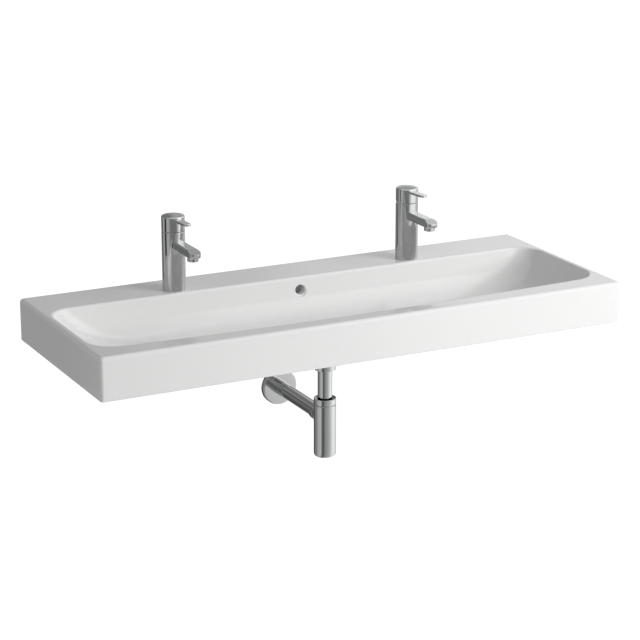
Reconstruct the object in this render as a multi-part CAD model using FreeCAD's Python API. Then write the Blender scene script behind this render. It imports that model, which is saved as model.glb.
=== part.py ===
import FreeCAD, Part
import math
import os

# Wide wall-hung ceramic washbasin with two single-lever mixers, a push-open waste and a bottle trap.
# Millimetres. +X is to the right seen from the room, +Y points at the wall and +Z is up.
# The origin is the midpoint between the two wall bolt holes, on the wall plane.
# Heights below are counted from the top of the basin's deck unless a comment says otherwise.

# Shared
overrun = 5.0
thread_clearance = 0.05
running_clearance = 0.08
loose_clearance = 0.3

# Basin
basin_width = 1200.0
basin_depth = 460.0
apron_height = 91.0
apron_wall = 16.0
back_wall = 20.0
deck_thickness = 18.0
upright_round = 10.0
top_edge_round = 8.0
bottom_edge_round = 4.0
wall_bolt_spacing = 680.0
wall_bolt_drop = 50.0
wall_bolt_hole_radius = 8.0

# Bowl
rear_deck = 112.0
side_rim = 18.0
front_rim = 64.0
front_bow = 22.0
bowl_corner = 52.0
foot_corner_share = 0.45
bowl_rim_round = 6.0
bowl_depth = 108.0
bowl_wall_depth = 90.0
end_draw = 127.0
side_draw = 35.0
bowl_foot_corner = foot_corner_share * (basin_depth - rear_deck - front_rim - 2 * side_draw)
shell_wall = 13.0
drain_from_wall = 233.0
pan_half_length = 95.0
pan_half_depth = 52.0
pan_corner = 45.0
pan_bow = 4.0
# Down the bowl's wall: shares of its depth, of the ends' draw, of the sides' draw and of the corners' growth.
bowl_wall_shares = (
    (0.0, 0.0, 0.0, 0.0),
    (0.26, 0.08, 0.08, 0.16),
    (0.55, 0.25, 0.22, 0.5),
    (0.82, 0.53, 0.5, 0.85),
    (1.0, 1.0, 1.0, 1.0),
)
shell_top_share = 0.5

# Overflow
overflow_drop = 29.0
overflow_radius = 10.0
overflow_lip = 4.0
duct_width = 28.0
duct_gap = 12.0
duct_wall = 10.0

# Waste
drain_hole_radius = 22.5
drain_boss_radius = 38.0
drain_boss_height = 30.0
flange_recess_radius = 33.0
flange_recess = 1.5
waste_flange_gap = 1.5
waste_flange = 3.0
waste_seal = 1.5
waste_gap = 1.5
waste_bore_radius = 17.5
waste_length = 60.0
waste_slot_width = 16.0
waste_seat_rim = 4.0
waste_seat_depth = 2.0
waste_seal_inset = 2.5
lower_seal = 4.0
lower_seal_width = 9.0
lock_nut_flats = 58.0
lock_nut_height = 9.0
plug_gap = 1.0
plug_thickness = 4.0
plug_crown = 1.5
plug_seal_inset = 2.5
plug_seal_width = 5.0
plug_seal_thickness = 1.0
plug_stem_radius = 4.0
plug_stem_length = 34.0
latch_radius = 8.0
latch_top = 20.0
latch_length = 26.0
latch_floor = 2.0
latch_rib = 4.0
latch_rib_height = 7.0
latch_hub_wall = 2.5
latch_rib_count = 3
spring_radius = 2.6
spring_wire_radius = 0.4
spring_turns = 4

# Trap
inlet_nut_wall = 2.5
inlet_nut_height = 22.0
inlet_nut_grip = 11.0
inlet_seal = 5.0
tube_radius = 16.0
tube_wall = 1.2
tube_entry = 6.0
tube_shown = 64.0
tube_dip = 100.0
trap_radius = 24.5
trap_wall = 2.0
trap_ring_height = 13.5
trap_ring_wall = 3.5
trap_ring_recess = 8.0
trap_ring_lip = 3.0
trap_ring_spigot = 10.5
trap_groove = 1.0
trap_shelf = 3.0
tube_ring_gap = 1.0
trap_length = 108.0
trap_cup_height = 10.0
trap_cup_spigot = 12.0
trap_cup_round = 7.0
cup_seal = 0.8
cup_seal_width = 1.0
outlet_drop = 28.0
outlet_bore_radius = 14.5
outlet_stub_wall = 1.4
outlet_stub_end = 36.0
outlet_seal = 3.0
outlet_nut_wall = 1.5
outlet_nut_length = 15.0
outlet_nut_lip = 3.0
pipe_past_wall = 30.0
pipe_mark_width = 2.0
pipe_mark_depth = 0.3
pipe_start_gap = 1.0
rosette_radius = 41.5
rosette_thickness = 12.0
rosette_sheet = 1.5
rosette_round = 3.0
rosette_collar_wall = 1.2
rosette_collar_length = 34.0

# Mixer column and spout
tap_spacing = 564.0
tap_from_wall = 80.0
tap_hole_radius = 17.5
column_radius = 25.0
column_height = 129.0
spout_width = 26.0
spout_drop = 35.5
spout_height = 18.0
spout_reach = 121.0
spout_tip_round = 9.0
spout_edge_round = 5.0
spout_bevel_length = 21.0
spout_bevel_drop = 7.0
spout_tip_face = 3.0
spout_chin_length = 6.5
spout_water_radius = 5.0
spout_water_rise = 8.0
spout_water_start = 16.0
aerator_from_tip = 19.0
aerator_reach = spout_reach - aerator_from_tip
aerator_radius = 12.0
aerator_wall = 2.0
aerator_length = 14.0
aerator_shown = 7.0
aerator_insert_gap = 2.0
aerator_insert_length = 9.0
aerator_hole_radius = 1.5
aerator_hole_circle = 6.0
aerator_hole_count = 6

# Mixer fixing
base_seal_inset = 2.0
base_seal_width = 4.0
base_seal_height = 3.0
hose_thread_radius = 4.5
hose_thread_length = 14.0
hose_mouth = 1.0
hose_mouth_step = 0.5
hose_offset_x = 8.0
hose_offset_y = 5.0
water_radius = 3.5
stud_radius = 4.0
stud_offset = 9.0
stud_grip = 20.0
stud_hang = 70.0
washer_radius = 20.0
washer_offset = 3.5
washer_slot_width = 27.0
washer_slot_back = 1.0
washer_thickness = 3.0
tube_nut_flats = 13.0
tube_nut_length = 20.0

# Mixer cartridge
cartridge_nut_sink = 1.0
cartridge_radius = 17.5
cartridge_wall = 2.0
cartridge_base = 4.0
cartridge_height = 32.0
cartridge_lip = 3.0
cartridge_seal_radius = 5.0
cartridge_seal_height = 1.6
cartridge_nut_step = 1.5
cartridge_nut_height = 6.0
fixed_disc_gap = 2.0
fixed_disc_height = 5.0
disc_outlet_offset = 8.0
disc_travel = 4.2
moving_disc_height = 5.0
moving_boss_radius = 6.8
moving_boss_height = 9.5
moving_socket_depth = 6.5
carrier_play = 0.2
carrier_shoulder = 3.8
neck_step = 2.0
neck_rise = 9.0
carrier_slot_width = 8.8
carrier_slot_length = 16.0
pivot_rise = 2.0
pivot_pin_radius = 2.0
pivot_pin_length = 25.0
stem_width = 7.0
stem_foot_drop = 6.0
stem_socket_depth = 8.0
stem_ball_radius = 3.5
stem_ball_drop = 12.0
stem_neck_radius = 2.6

# Mixer lever
lever_gap = 0.8
lever_height = 35.2
lever_crown = 3.5
lever_edge_round = 3.0
lever_wall = 4.5
lever_cavity_height = 20.0
tongue_root_width = 20.0
tongue_tip_width = 17.0
tongue_reach = 81.0
tongue_thickness = 5.0
tongue_root_rise = 23.2
tongue_edge_round = 1.5
tongue_tip_round = 7.0
tongue_rise_deg = 2.5
lever_relief_deg = 22.0
lever_relief_gap = 0.5
set_screw_radius = 2.5
set_screw_length = 14.0
set_screw_rise = 4.0

vector = FreeCAD.Vector
x_axis = vector(1, 0, 0)
y_axis = vector(0, 1, 0)
z_axis = vector(0, 0, 1)


def cylinder(radius, low, high, x=0, y=0):
    """Upright cylinder between two heights."""
    return Part.makeCylinder(radius, high - low, vector(x, y, low), z_axis)


def ring(outer, inner, low, high, x=0, y=0):
    """Upright tube between two heights."""
    return cylinder(outer, low, high, x, y).cut(cylinder(inner, low, high, x, y))


def cylinder_y(radius, front, back, x=0, z=0):
    """Cylinder along Y between two places."""
    return Part.makeCylinder(radius, back - front, vector(x, front, z), y_axis)


def ring_y(outer, inner, front, back, x=0, z=0):
    """Tube along Y between two places."""
    return cylinder_y(outer, front, back, x, z).cut(cylinder_y(inner, front, back, x, z))


def block(x_low, x_high, y_low, y_high, z_low, z_high):
    """Square-edged block between two corners."""
    return Part.makeBox(x_high - x_low, y_high - y_low, z_high - z_low, vector(x_low, y_low, z_low))


def hexagon(flats, low, high, x=0, y=0):
    """Upright hexagonal bar measured across its flats."""
    radius = flats / 2 / math.cos(math.pi / 6)
    corners = [vector(x + radius * math.cos(k * math.pi / 3), y + radius * math.sin(k * math.pi / 3), low)
               for k in range(6)]
    face = Part.Face(Part.makePolygon(corners + corners[:1]))
    return face.extrude(z_axis * (high - low))


def profile_x(points, half_width):
    """Outline in the YZ plane, pushed out to both sides of X = 0."""
    corners = [vector(-half_width, y, z) for y, z in points]
    face = Part.Face(Part.makePolygon(corners + corners[:1]))
    return face.extrude(x_axis * (2 * half_width))


def edges_where(shape, test):
    """Edges whose bounding box passes the test."""
    return [edge for edge in shape.Edges if test(edge.BoundBox)]


def near(first, second):
    """True where two places are the same within a small part of the running clearance."""
    return abs(first - second) < running_clearance / 4


def export(name, shape, x=0, y=0):
    """Moves a piece from the deck's height to the wall bolts' height and writes it."""
    moved = shape.copy()
    moved.translate(vector(x, y, wall_bolt_drop))
    solids = moved.Solids
    kept = solids[0] if len(solids) == 1 else Part.makeCompound(solids)
    kept.exportStep("parts/" + name + ".step")
    print(name, len(solids), kept.isValid(), round(kept.Volume))


# Basin


def bowl_outline(half_length, back, front, corner, bow, level):
    """Closed outline with straight back and ends and a front edge bowed towards the room."""
    bow_radius = (half_length ** 2 + bow ** 2) / (2 * bow)
    bow_centre = vector(0, front - bow + bow_radius, level)
    straight = half_length - corner
    corner_y = bow_centre.y - math.sqrt((bow_radius - corner) ** 2 - straight ** 2)
    front_centre = vector(straight, corner_y, level)
    reach = front_centre - bow_centre
    turn = math.atan2(reach.y, reach.x)
    touch = bow_centre + reach * (bow_radius / (bow_radius - corner))
    front_middle = front_centre + vector(math.cos(turn / 2), math.sin(turn / 2), 0) * corner
    back_middle = vector(straight, back - corner, level) + vector(1, 1, 0) * (corner / math.sqrt(2))

    def mirrored(point):
        return vector(-point.x, point.y, point.z)

    back_right = vector(straight, back, level)
    right_back = vector(half_length, back - corner, level)
    right_front = vector(half_length, corner_y, level)
    bow_front = vector(0, front - bow, level)
    edges = [
        Part.LineSegment(mirrored(back_right), back_right),
        Part.Arc(back_right, back_middle, right_back),
        Part.LineSegment(right_back, right_front),
        Part.Arc(right_front, front_middle, touch),
        Part.Arc(touch, bow_front, mirrored(touch)),
        Part.Arc(mirrored(touch), mirrored(front_middle), mirrored(right_front)),
        Part.LineSegment(mirrored(right_front), mirrored(right_back)),
        Part.Arc(mirrored(right_back), mirrored(back_middle), mirrored(back_right)),
    ]
    return Part.Wire([edge.toShape() for edge in edges])


def bowl_wires(grow, top):
    """Outlines down the bowl's wall and its floor pan, grown outwards for the underside of the shell."""
    wires = []
    for depth_share, end_share, side_share, corner_share in bowl_wall_shares:
        half_length = basin_width / 2 - side_rim - end_draw * end_share + grow
        back = -rear_deck - side_draw * side_share + grow
        front = -basin_depth + front_rim + side_draw * side_share - grow
        corner = bowl_corner + (bowl_foot_corner - bowl_corner) * corner_share + grow
        level = min(top, -bowl_wall_depth * depth_share - grow * depth_share)
        wires.append(bowl_outline(half_length, back, front, corner, front_bow, level))
    pan_back = -drain_from_wall + pan_half_depth + grow
    pan_front = -drain_from_wall - pan_half_depth - grow
    pan_level = -bowl_depth - grow
    pan = bowl_outline(pan_half_length + grow, pan_back, pan_front, pan_corner + grow, pan_bow, pan_level)
    return wires, pan


def bowl_solid(grow, top):
    """Bowl form: a smooth wall and a floor that falls to the drain."""
    wires, pan = bowl_wires(grow, top)
    wall = Part.makeLoft(wires, True, False)
    floor = Part.makeLoft([wires[-1], pan], True, True)
    return wall, floor


def make_basin():
    """Ceramic basin: apron box open underneath, bowl shell, overflow duct, tap holes and wall bolt holes."""
    half_width = basin_width / 2
    box = block(-half_width, half_width, -basin_depth, 0, -apron_height, 0)
    uprights = edges_where(box, lambda b: near(b.ZLength, apron_height) and near(b.YMax, -basin_depth))
    box = box.makeFillet(upright_round, uprights)
    top_edges = edges_where(box, lambda b: near(b.ZMin, 0) and not near(b.YMin, 0))
    box = box.makeFillet(top_edge_round, top_edges)
    bottom_edges = edges_where(box, lambda b: near(b.ZMax, -apron_height) and not near(b.YMin, 0))
    box = box.makeFillet(bottom_edge_round, bottom_edges)
    inner_half = half_width - apron_wall
    hollow = block(-inner_half, inner_half, apron_wall - basin_depth, -back_wall, -apron_height - overrun,
                   -deck_thickness)
    body = box.cut(hollow)
    wall, floor = bowl_solid(shell_wall, -deck_thickness * shell_top_share)
    boss_bottom = -bowl_depth - drain_boss_height
    boss = cylinder(drain_boss_radius, boss_bottom, -bowl_depth, 0, -drain_from_wall)
    duct_front = -rear_deck + shell_wall
    duct_back = duct_front + duct_gap
    duct_bottom = boss_bottom + duct_wall
    housing_points = [
        (duct_back + duct_wall, -deck_thickness * shell_top_share),
        (duct_back + duct_wall, boss_bottom),
        (-drain_from_wall, boss_bottom),
        (-drain_from_wall, duct_bottom + duct_gap + duct_wall / 2),
        (-rear_deck - side_draw, -bowl_wall_depth - shell_wall / 2),
        (-rear_deck - shell_wall / 2, -deck_thickness * shell_top_share),
    ]
    housing = profile_x(housing_points, duct_width / 2 + duct_wall)
    cavity_wall, cavity_floor = bowl_solid(0, 0)
    top_wire = bowl_wires(0, 0)[0][0]
    cavity_top = Part.Face(top_wire).extrude(z_axis * overrun)
    body = body.fuse([wall, floor, boss, housing])
    body = body.cut([cavity_top, cavity_wall, cavity_floor]).removeSplitter()
    bowl_half = half_width - side_rim
    rim = edges_where(body, lambda b: near(b.ZMin, 0) and near(b.ZMax, 0) and b.YMax < overrun - rear_deck
                      and b.XMax < bowl_half + overrun and b.XMin > -bowl_half - overrun
                      and b.YMin > -basin_depth + overrun + top_edge_round)
    body = body.makeFillet(bowl_rim_round, rim)
    duct_points = [
        (duct_back, -overflow_drop + overflow_radius),
        (duct_back, duct_bottom),
        (-drain_from_wall, duct_bottom),
        (-drain_from_wall, duct_bottom + duct_gap),
        (duct_front, duct_bottom + duct_gap),
        (duct_front, -overflow_drop + overflow_radius),
    ]
    duct = profile_x(duct_points, duct_width / 2)
    lip_depth = overflow_lip
    lip_front = -rear_deck - side_draw * bowl_wall_shares[1][2] - lip_depth / 2
    lip = Part.makeCone(overflow_radius + 2 * lip_depth, overflow_radius, 2 * lip_depth,
                        vector(0, lip_front - lip_depth, -overflow_drop), y_axis)
    mouth = cylinder_y(overflow_radius, -rear_deck - side_draw, duct_back - duct_gap / 2, 0, -overflow_drop)
    cuts = [duct, lip, mouth]
    above = -bowl_depth + overrun
    cuts.append(cylinder(drain_hole_radius, boss_bottom - overrun, above, 0, -drain_from_wall))
    cuts.append(cylinder(flange_recess_radius, -bowl_depth - flange_recess, above, 0, -drain_from_wall))
    for side in (-1, 1):
        tap_x = side * tap_spacing / 2
        cuts.append(cylinder(tap_hole_radius, -deck_thickness - overrun, overrun, tap_x, -tap_from_wall))
        bolt_x = side * wall_bolt_spacing / 2
        cuts.append(cylinder_y(wall_bolt_hole_radius, -back_wall - overrun, overrun, bolt_x, -wall_bolt_drop))
    export("basin", body.cut(cuts).removeSplitter())


# Waste

waste_thread_radius = drain_hole_radius - waste_gap
waste_thread_bore = waste_thread_radius + thread_clearance
waste_flange_radius = flange_recess_radius - waste_flange_gap
waste_seal_radius = waste_flange_radius - waste_seal_inset
waste_seat_radius = waste_flange_radius - waste_seat_rim
lower_seal_radius = waste_thread_radius + lower_seal_width
plug_radius = waste_seat_radius - plug_gap
plug_seal_outer = plug_radius - plug_seal_inset
plug_seal_inner = plug_seal_outer - plug_seal_width
seat = -bowl_depth - flange_recess
flange_bottom = seat + waste_seal
flange_top = flange_bottom + waste_flange
boss_bottom = -bowl_depth - drain_boss_height
lock_nut_top = boss_bottom - lower_seal
tail_bottom = flange_top - waste_length
plug_bottom = flange_top - waste_seat_depth + plug_seal_thickness
latch_bottom = flange_top - latch_top - latch_length


def make_waste():
    """Push-open waste, built about the drain's axis."""
    y = -drain_from_wall
    body = cylinder(waste_flange_radius, flange_bottom, flange_top)
    body = body.fuse(cylinder(waste_thread_radius, tail_bottom, flange_bottom))
    body = body.cut(cylinder(waste_bore_radius, tail_bottom, flange_top))
    body = body.cut(cylinder(waste_seat_radius, flange_top - waste_seat_depth, flange_top))
    slot_low = boss_bottom + duct_wall
    slot = block(-waste_slot_width / 2, waste_slot_width / 2, -waste_thread_radius - overrun,
                 waste_thread_radius + overrun, slot_low, slot_low + duct_gap)
    body = body.cut(slot)
    hub_radius = latch_radius + latch_hub_wall
    rib_top = latch_bottom + latch_rib_height
    carrier = ring(hub_radius, latch_radius, latch_bottom, rib_top)
    for k in range(latch_rib_count):
        rib = block(latch_radius + latch_hub_wall / 2, waste_bore_radius + trap_wall / 2, -latch_rib / 2,
                    latch_rib / 2, latch_bottom, rib_top)
        rib.rotate(vector(0, 0, 0), z_axis, 360 * k / latch_rib_count)
        carrier = carrier.fuse(rib)
    export("waste_body", body.fuse(carrier).removeSplitter(), 0, y)
    export("waste_top_seal", ring(waste_seal_radius, waste_thread_bore, seat, flange_bottom), 0, y)
    lower = ring(lower_seal_radius, waste_thread_bore, lock_nut_top, boss_bottom)
    export("waste_bottom_seal", lower, 0, y)
    nut = hexagon(lock_nut_flats, lock_nut_top - lock_nut_height, lock_nut_top)
    nut = nut.cut(cylinder(waste_thread_bore, lock_nut_top - lock_nut_height, lock_nut_top))
    export("waste_lock_nut", nut, 0, y)
    make_plug(y)


def make_plug(y):
    """Plug with its seal and stem, and the latch barrel and spring that hold it up or down."""
    crown_radius = (plug_radius ** 2 + plug_crown ** 2) / (2 * plug_crown)
    plug_top = plug_bottom + plug_thickness
    plug = cylinder(plug_radius, plug_bottom, plug_top)
    plug = plug.common(Part.makeSphere(crown_radius, vector(0, 0, plug_top - crown_radius)))
    export("waste_plug", plug, 0, y)
    seal = ring(plug_seal_outer, plug_seal_inner, plug_bottom - plug_seal_thickness, plug_bottom)
    export("plug_seal", seal, 0, y)
    stem_end = plug_bottom - plug_stem_length
    export("plug_stem", cylinder(plug_stem_radius, stem_end, plug_bottom), 0, y)
    latch_top_height = latch_bottom + latch_length
    bore = plug_stem_radius + running_clearance
    latch = cylinder(latch_radius, latch_bottom, latch_top_height)
    latch = latch.cut(cylinder(bore, latch_bottom + latch_floor, latch_top_height))
    export("latch_barrel", latch, 0, y)
    export("latch_spring", coil(latch_bottom + latch_floor, stem_end), 0, y)


def coil(low, high):
    """Round-wire coil between two heights, on arcs of a quarter turn."""
    bottom = low + spring_wire_radius
    rise = (high - spring_wire_radius - bottom) / (4 * spring_turns)

    def on_helix(quarters):
        angle = quarters * math.pi / 2
        level = bottom + rise * quarters
        return vector(spring_radius * math.cos(angle), spring_radius * math.sin(angle), level)

    arcs = [Part.Arc(on_helix(k), on_helix(k + 1 / 2), on_helix(k + 1)).toShape()
            for k in range(4 * spring_turns)]
    path = Part.Wire(arcs)
    section = Part.Wire([Part.Circle(on_helix(0), arcs[0].tangentAt(arcs[0].FirstParameter),
                                     spring_wire_radius).toShape()])
    print("coil gap", round(4 * rise - 2 * spring_wire_radius, 2))
    return path.makePipeShell([section], True, False)


# Trap

inlet_nut_radius = waste_thread_radius + inlet_nut_wall
inlet_nut_bottom = tail_bottom + inlet_nut_grip - inlet_nut_height
inlet_lip_top = tail_bottom - inlet_seal
ring_top = inlet_nut_bottom - tube_shown
ring_bottom = ring_top - trap_ring_height
spigot_bottom = ring_bottom - trap_ring_spigot
trap_top = ring_bottom - trap_groove
trap_bottom = trap_top - trap_length
trap_bore = trap_radius - trap_wall
outlet_height = trap_top - outlet_drop
tube_slot = tube_radius + loose_clearance
tube_seat = tube_radius + thread_clearance
stub_bore = tube_radius + loose_clearance / 2
stub_outer = stub_bore + outlet_stub_wall


def make_trap():
    """Bottle trap from the inlet nut under the waste to the rosette on the wall."""
    y = -drain_from_wall
    inlet_nut_top = inlet_nut_bottom + inlet_nut_height
    nut = cylinder(inlet_nut_radius, inlet_nut_bottom, inlet_nut_top)
    nut = nut.cut(cylinder(tube_slot, inlet_nut_bottom, inlet_lip_top))
    nut = nut.cut(cylinder(waste_thread_bore, inlet_lip_top, inlet_nut_top))
    export("inlet_nut", nut, 0, y)
    export("inlet_seal", ring(waste_thread_radius, tube_seat, inlet_lip_top, tail_bottom), 0, y)
    tube = ring(tube_radius, tube_radius - tube_wall, ring_top - tube_dip, tail_bottom + tube_entry)
    export("inlet_tube", tube, 0, y)
    ring_bore = trap_radius - trap_ring_wall
    lip_top = ring_top - trap_ring_recess
    lip_bottom = lip_top - trap_ring_lip
    spigot_radius = trap_bore - thread_clearance
    top = ring(trap_radius, ring_bore, ring_bottom, ring_top)
    top = top.fuse(ring(spigot_radius, ring_bore, spigot_bottom, ring_bottom))
    top = top.fuse(ring(ring_bore + trap_ring_wall / 4, tube_radius + tube_ring_gap, lip_bottom, lip_top))
    export("trap_top_ring", top.removeSplitter(), 0, y)
    export("trap_top_seal", ring(ring_bore, tube_seat, spigot_bottom, lip_bottom), 0, y)
    shell = ring(trap_radius, trap_bore, trap_bottom, trap_top)
    shelf_bottom = spigot_bottom - trap_shelf
    shelf = ring(trap_bore + trap_wall / 2, tube_radius + tube_ring_gap, shelf_bottom, spigot_bottom)
    stub = ring_y(stub_outer, stub_bore, 0, outlet_stub_end, 0, outlet_height)
    stub = stub.cut(cylinder(trap_bore + trap_wall / 2, trap_bottom, trap_top))
    way_out = cylinder_y(outlet_bore_radius, 0, trap_radius + overrun, 0, outlet_height)
    body = shell.fuse([shelf, stub]).cut(way_out)
    export("trap_body", body.removeSplitter(), 0, y)
    make_trap_cup(y)
    make_outlet(y)


def make_trap_cup(y):
    """Screw-in cup that closes the trap's foot, and its seal in a rebate of the cup."""
    cup_bottom = trap_bottom - trap_cup_height
    cup = cylinder(trap_radius, cup_bottom, trap_bottom)
    foot = edges_where(cup, lambda b: near(b.ZMax, cup_bottom))
    cup = cup.makeFillet(trap_cup_round, foot)
    spigot_radius = trap_bore - thread_clearance
    cup = cup.fuse(cylinder(spigot_radius, trap_bottom - trap_wall, trap_bottom + trap_cup_spigot))
    hollow_radius = spigot_radius - trap_wall
    cup = cup.cut(cylinder(hollow_radius, trap_bottom - trap_cup_height / 2, trap_bottom + trap_cup_spigot))
    rebate_outer = spigot_radius + cup_seal_width
    cup = cup.cut(ring(rebate_outer, spigot_radius, trap_bottom - cup_seal, trap_bottom))
    export("trap_cup", cup.removeSplitter(), 0, y)
    export("cup_seal", ring(rebate_outer, spigot_radius, trap_bottom - cup_seal, trap_bottom), 0, y)


def make_outlet(y):
    """Outlet nut and seal on the trap's side, the pipe into the wall and the rosette over it."""
    seal_end = outlet_stub_end + outlet_seal
    nut_end = seal_end + outlet_nut_lip
    nut_outer = stub_outer + thread_clearance + outlet_nut_wall
    nut_bore = stub_outer + thread_clearance
    nut = ring_y(nut_outer, nut_bore, nut_end - outlet_nut_length, seal_end, 0, outlet_height)
    nut = nut.fuse(ring_y(nut_outer, tube_slot, seal_end, nut_end, 0, outlet_height))
    export("outlet_nut", nut.removeSplitter(), 0, y)
    export("outlet_seal", ring_y(stub_outer, tube_seat, outlet_stub_end, seal_end, 0, outlet_height), 0, y)
    pipe_start = -drain_from_wall + trap_radius + pipe_start_gap
    pipe = ring_y(tube_radius, tube_radius - tube_wall, pipe_start, pipe_past_wall, 0, outlet_height)
    # The groove marks how far the pipe goes into the wall's socket.
    mark = ring_y(tube_radius, tube_radius - pipe_mark_depth, 0, pipe_mark_width, 0, outlet_height)
    export("outlet_pipe", pipe.cut(mark))
    plate = cylinder_y(rosette_radius, -rosette_thickness, 0, 0, outlet_height)
    front = edges_where(plate, lambda b: near(b.YMax, -rosette_thickness))
    plate = plate.makeFillet(rosette_round, front)
    dish_radius = rosette_radius - rosette_sheet
    plate = plate.cut(cylinder_y(dish_radius, rosette_sheet - rosette_thickness, 0, 0, outlet_height))
    collar_outer = tube_radius + rosette_collar_wall
    collar = cylinder_y(collar_outer, -rosette_collar_length, -rosette_thickness / 2, 0, outlet_height)
    rosette = plate.fuse(collar)
    rosette = rosette.cut(cylinder_y(tube_seat, -rosette_collar_length, 0, 0, outlet_height))
    export("rosette", rosette.removeSplitter())


# Mixers, built about the column's axis with the spout towards -Y

base_seal_outer = column_radius - base_seal_inset
base_seal_inner = base_seal_outer - base_seal_width
spout_bottom = column_height - spout_drop
water_height = spout_bottom + spout_water_rise
aerator_top = spout_bottom + aerator_length - aerator_shown
cartridge_top = column_height - cartridge_nut_sink - cartridge_nut_height
cartridge_bottom = cartridge_top - cartridge_height
cartridge_nut_radius = cartridge_radius + cartridge_nut_step
disc_bottom = cartridge_bottom + cartridge_base
disc_top = disc_bottom + fixed_disc_height
cartridge_bore = cartridge_radius - cartridge_wall
cartridge_lip_bottom = cartridge_top - cartridge_lip
fixed_disc_radius = cartridge_bore - fixed_disc_gap
moving_disc_radius = cartridge_bore - disc_travel - loose_clearance
shoulder_top = cartridge_lip_bottom - carrier_play
carrier_bottom = shoulder_top - carrier_shoulder
neck_radius = cartridge_bore - neck_step
neck_top = cartridge_top + neck_rise
pivot_height = cartridge_top + pivot_rise
lever_bottom = column_height + lever_gap
lever_ceiling = lever_bottom + lever_cavity_height
stem_top = lever_ceiling + stem_socket_depth
stem_bottom = pivot_height - stem_foot_drop
stem_ball_height = pivot_height - stem_ball_drop
set_screw_height = lever_ceiling + set_screw_rise


def hose_places():
    """Centres of the hot and cold inlets about the column's axis."""
    return [(side * hose_offset_x, -hose_offset_y) for side in (-1, 1)]


def tapered_plate(root_width, tip_width, root, tip, corner, low, high):
    """Flat plate towards -Y with rounded front corners."""
    corners = [vector(-root_width / 2, -root, low), vector(root_width / 2, -root, low),
               vector(tip_width / 2, -tip, low), vector(-tip_width / 2, -tip, low)]
    plate = Part.Face(Part.makePolygon(corners + corners[:1])).extrude(z_axis * (high - low))
    uprights = edges_where(plate, lambda b: near(b.ZLength, high - low) and near(b.YMax, -tip))
    return plate.makeFillet(corner, uprights)


def make_spout():
    """Flat-topped bar with a round-cornered tip, bevelled above and drawn in below."""
    top = spout_bottom + spout_height
    bar = tapered_plate(spout_width, spout_width, 0, spout_reach, spout_tip_round, spout_bottom, top)
    bevel = profile_x([
        (-spout_reach + spout_bevel_length, top),
        (-spout_reach - spout_bevel_length, top - 2 * spout_bevel_drop),
        (-spout_reach - spout_bevel_length, top + overrun),
        (-spout_reach + spout_bevel_length, top + overrun),
    ], spout_width)
    chin_rise = spout_height - spout_bevel_drop - spout_tip_face
    chin = profile_x([
        (-spout_reach + spout_chin_length, spout_bottom),
        (-spout_reach - spout_chin_length, spout_bottom + 2 * chin_rise),
        (-spout_reach - spout_chin_length, spout_bottom - overrun),
        (-spout_reach + spout_chin_length, spout_bottom - overrun),
    ], spout_width)
    bar = bar.cut([bevel, chin])
    long_edges = edges_where(bar, lambda b: near(b.ZLength, 0) and near(b.XLength, 0)
                             and b.YLength > spout_reach / 2)
    return bar.makeFillet(spout_edge_round, long_edges)


def make_mixer_body(name, x, y):
    """Column with its spout, cartridge bore, water ways and fixing holes."""
    body = cylinder(column_radius, 0, column_height).fuse(make_spout()).removeSplitter()
    cuts = [
        cylinder(cartridge_radius + thread_clearance, cartridge_bottom, column_height),
        cylinder(cartridge_nut_radius + thread_clearance, cartridge_top, column_height),
        cylinder_y(spout_water_radius, -aerator_reach, -spout_water_start, 0, water_height),
        cylinder(aerator_radius + thread_clearance, spout_bottom, aerator_top, 0, -aerator_reach),
        cylinder(spout_water_radius, spout_bottom, water_height, 0, -aerator_reach),
        ring(base_seal_outer, base_seal_inner, 0, base_seal_height),
        cylinder(stud_radius + thread_clearance, 0, stud_grip, 0, stud_offset),
    ]
    thread_top = hose_mouth + hose_thread_length
    for hose_x, hose_y in hose_places():
        cuts.append(cylinder(hose_thread_radius + hose_mouth_step, 0, hose_mouth, hose_x, hose_y))
        cuts.append(cylinder(hose_thread_radius, hose_mouth, thread_top, hose_x, hose_y))
        cuts.append(cylinder(water_radius, thread_top, cartridge_bottom, hose_x, hose_y))
    export(name + "_mixer_body", body.cut(cuts), x, y)
    export(name + "_base_seal", ring(base_seal_outer, base_seal_inner, 0, base_seal_height), x, y)


def make_aerator(name, x, y):
    """Screwed aerator ring and its perforated insert under the spout's tip."""
    bottom = aerator_top - aerator_length
    bore = aerator_radius - aerator_wall
    insert_low = bottom + aerator_insert_gap
    insert_high = insert_low + aerator_insert_length
    housing = ring(aerator_radius, bore, bottom, aerator_top, 0, -aerator_reach)
    foot = ring(bore + aerator_wall / 2, bore - aerator_wall / 2, bottom, insert_low, 0, -aerator_reach)
    housing = housing.fuse(foot)
    export(name + "_aerator_housing", housing.removeSplitter(), x, y)
    insert = cylinder(bore, insert_low, insert_high, 0, -aerator_reach)
    for k in range(aerator_hole_count):
        angle = 2 * math.pi * k / aerator_hole_count
        hole_x = aerator_hole_circle * math.cos(angle)
        hole_y = aerator_hole_circle * math.sin(angle) - aerator_reach
        insert = insert.cut(cylinder(aerator_hole_radius, insert_low, insert_high, hole_x, hole_y))
    export(name + "_aerator_insert", insert, x, y)


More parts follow.
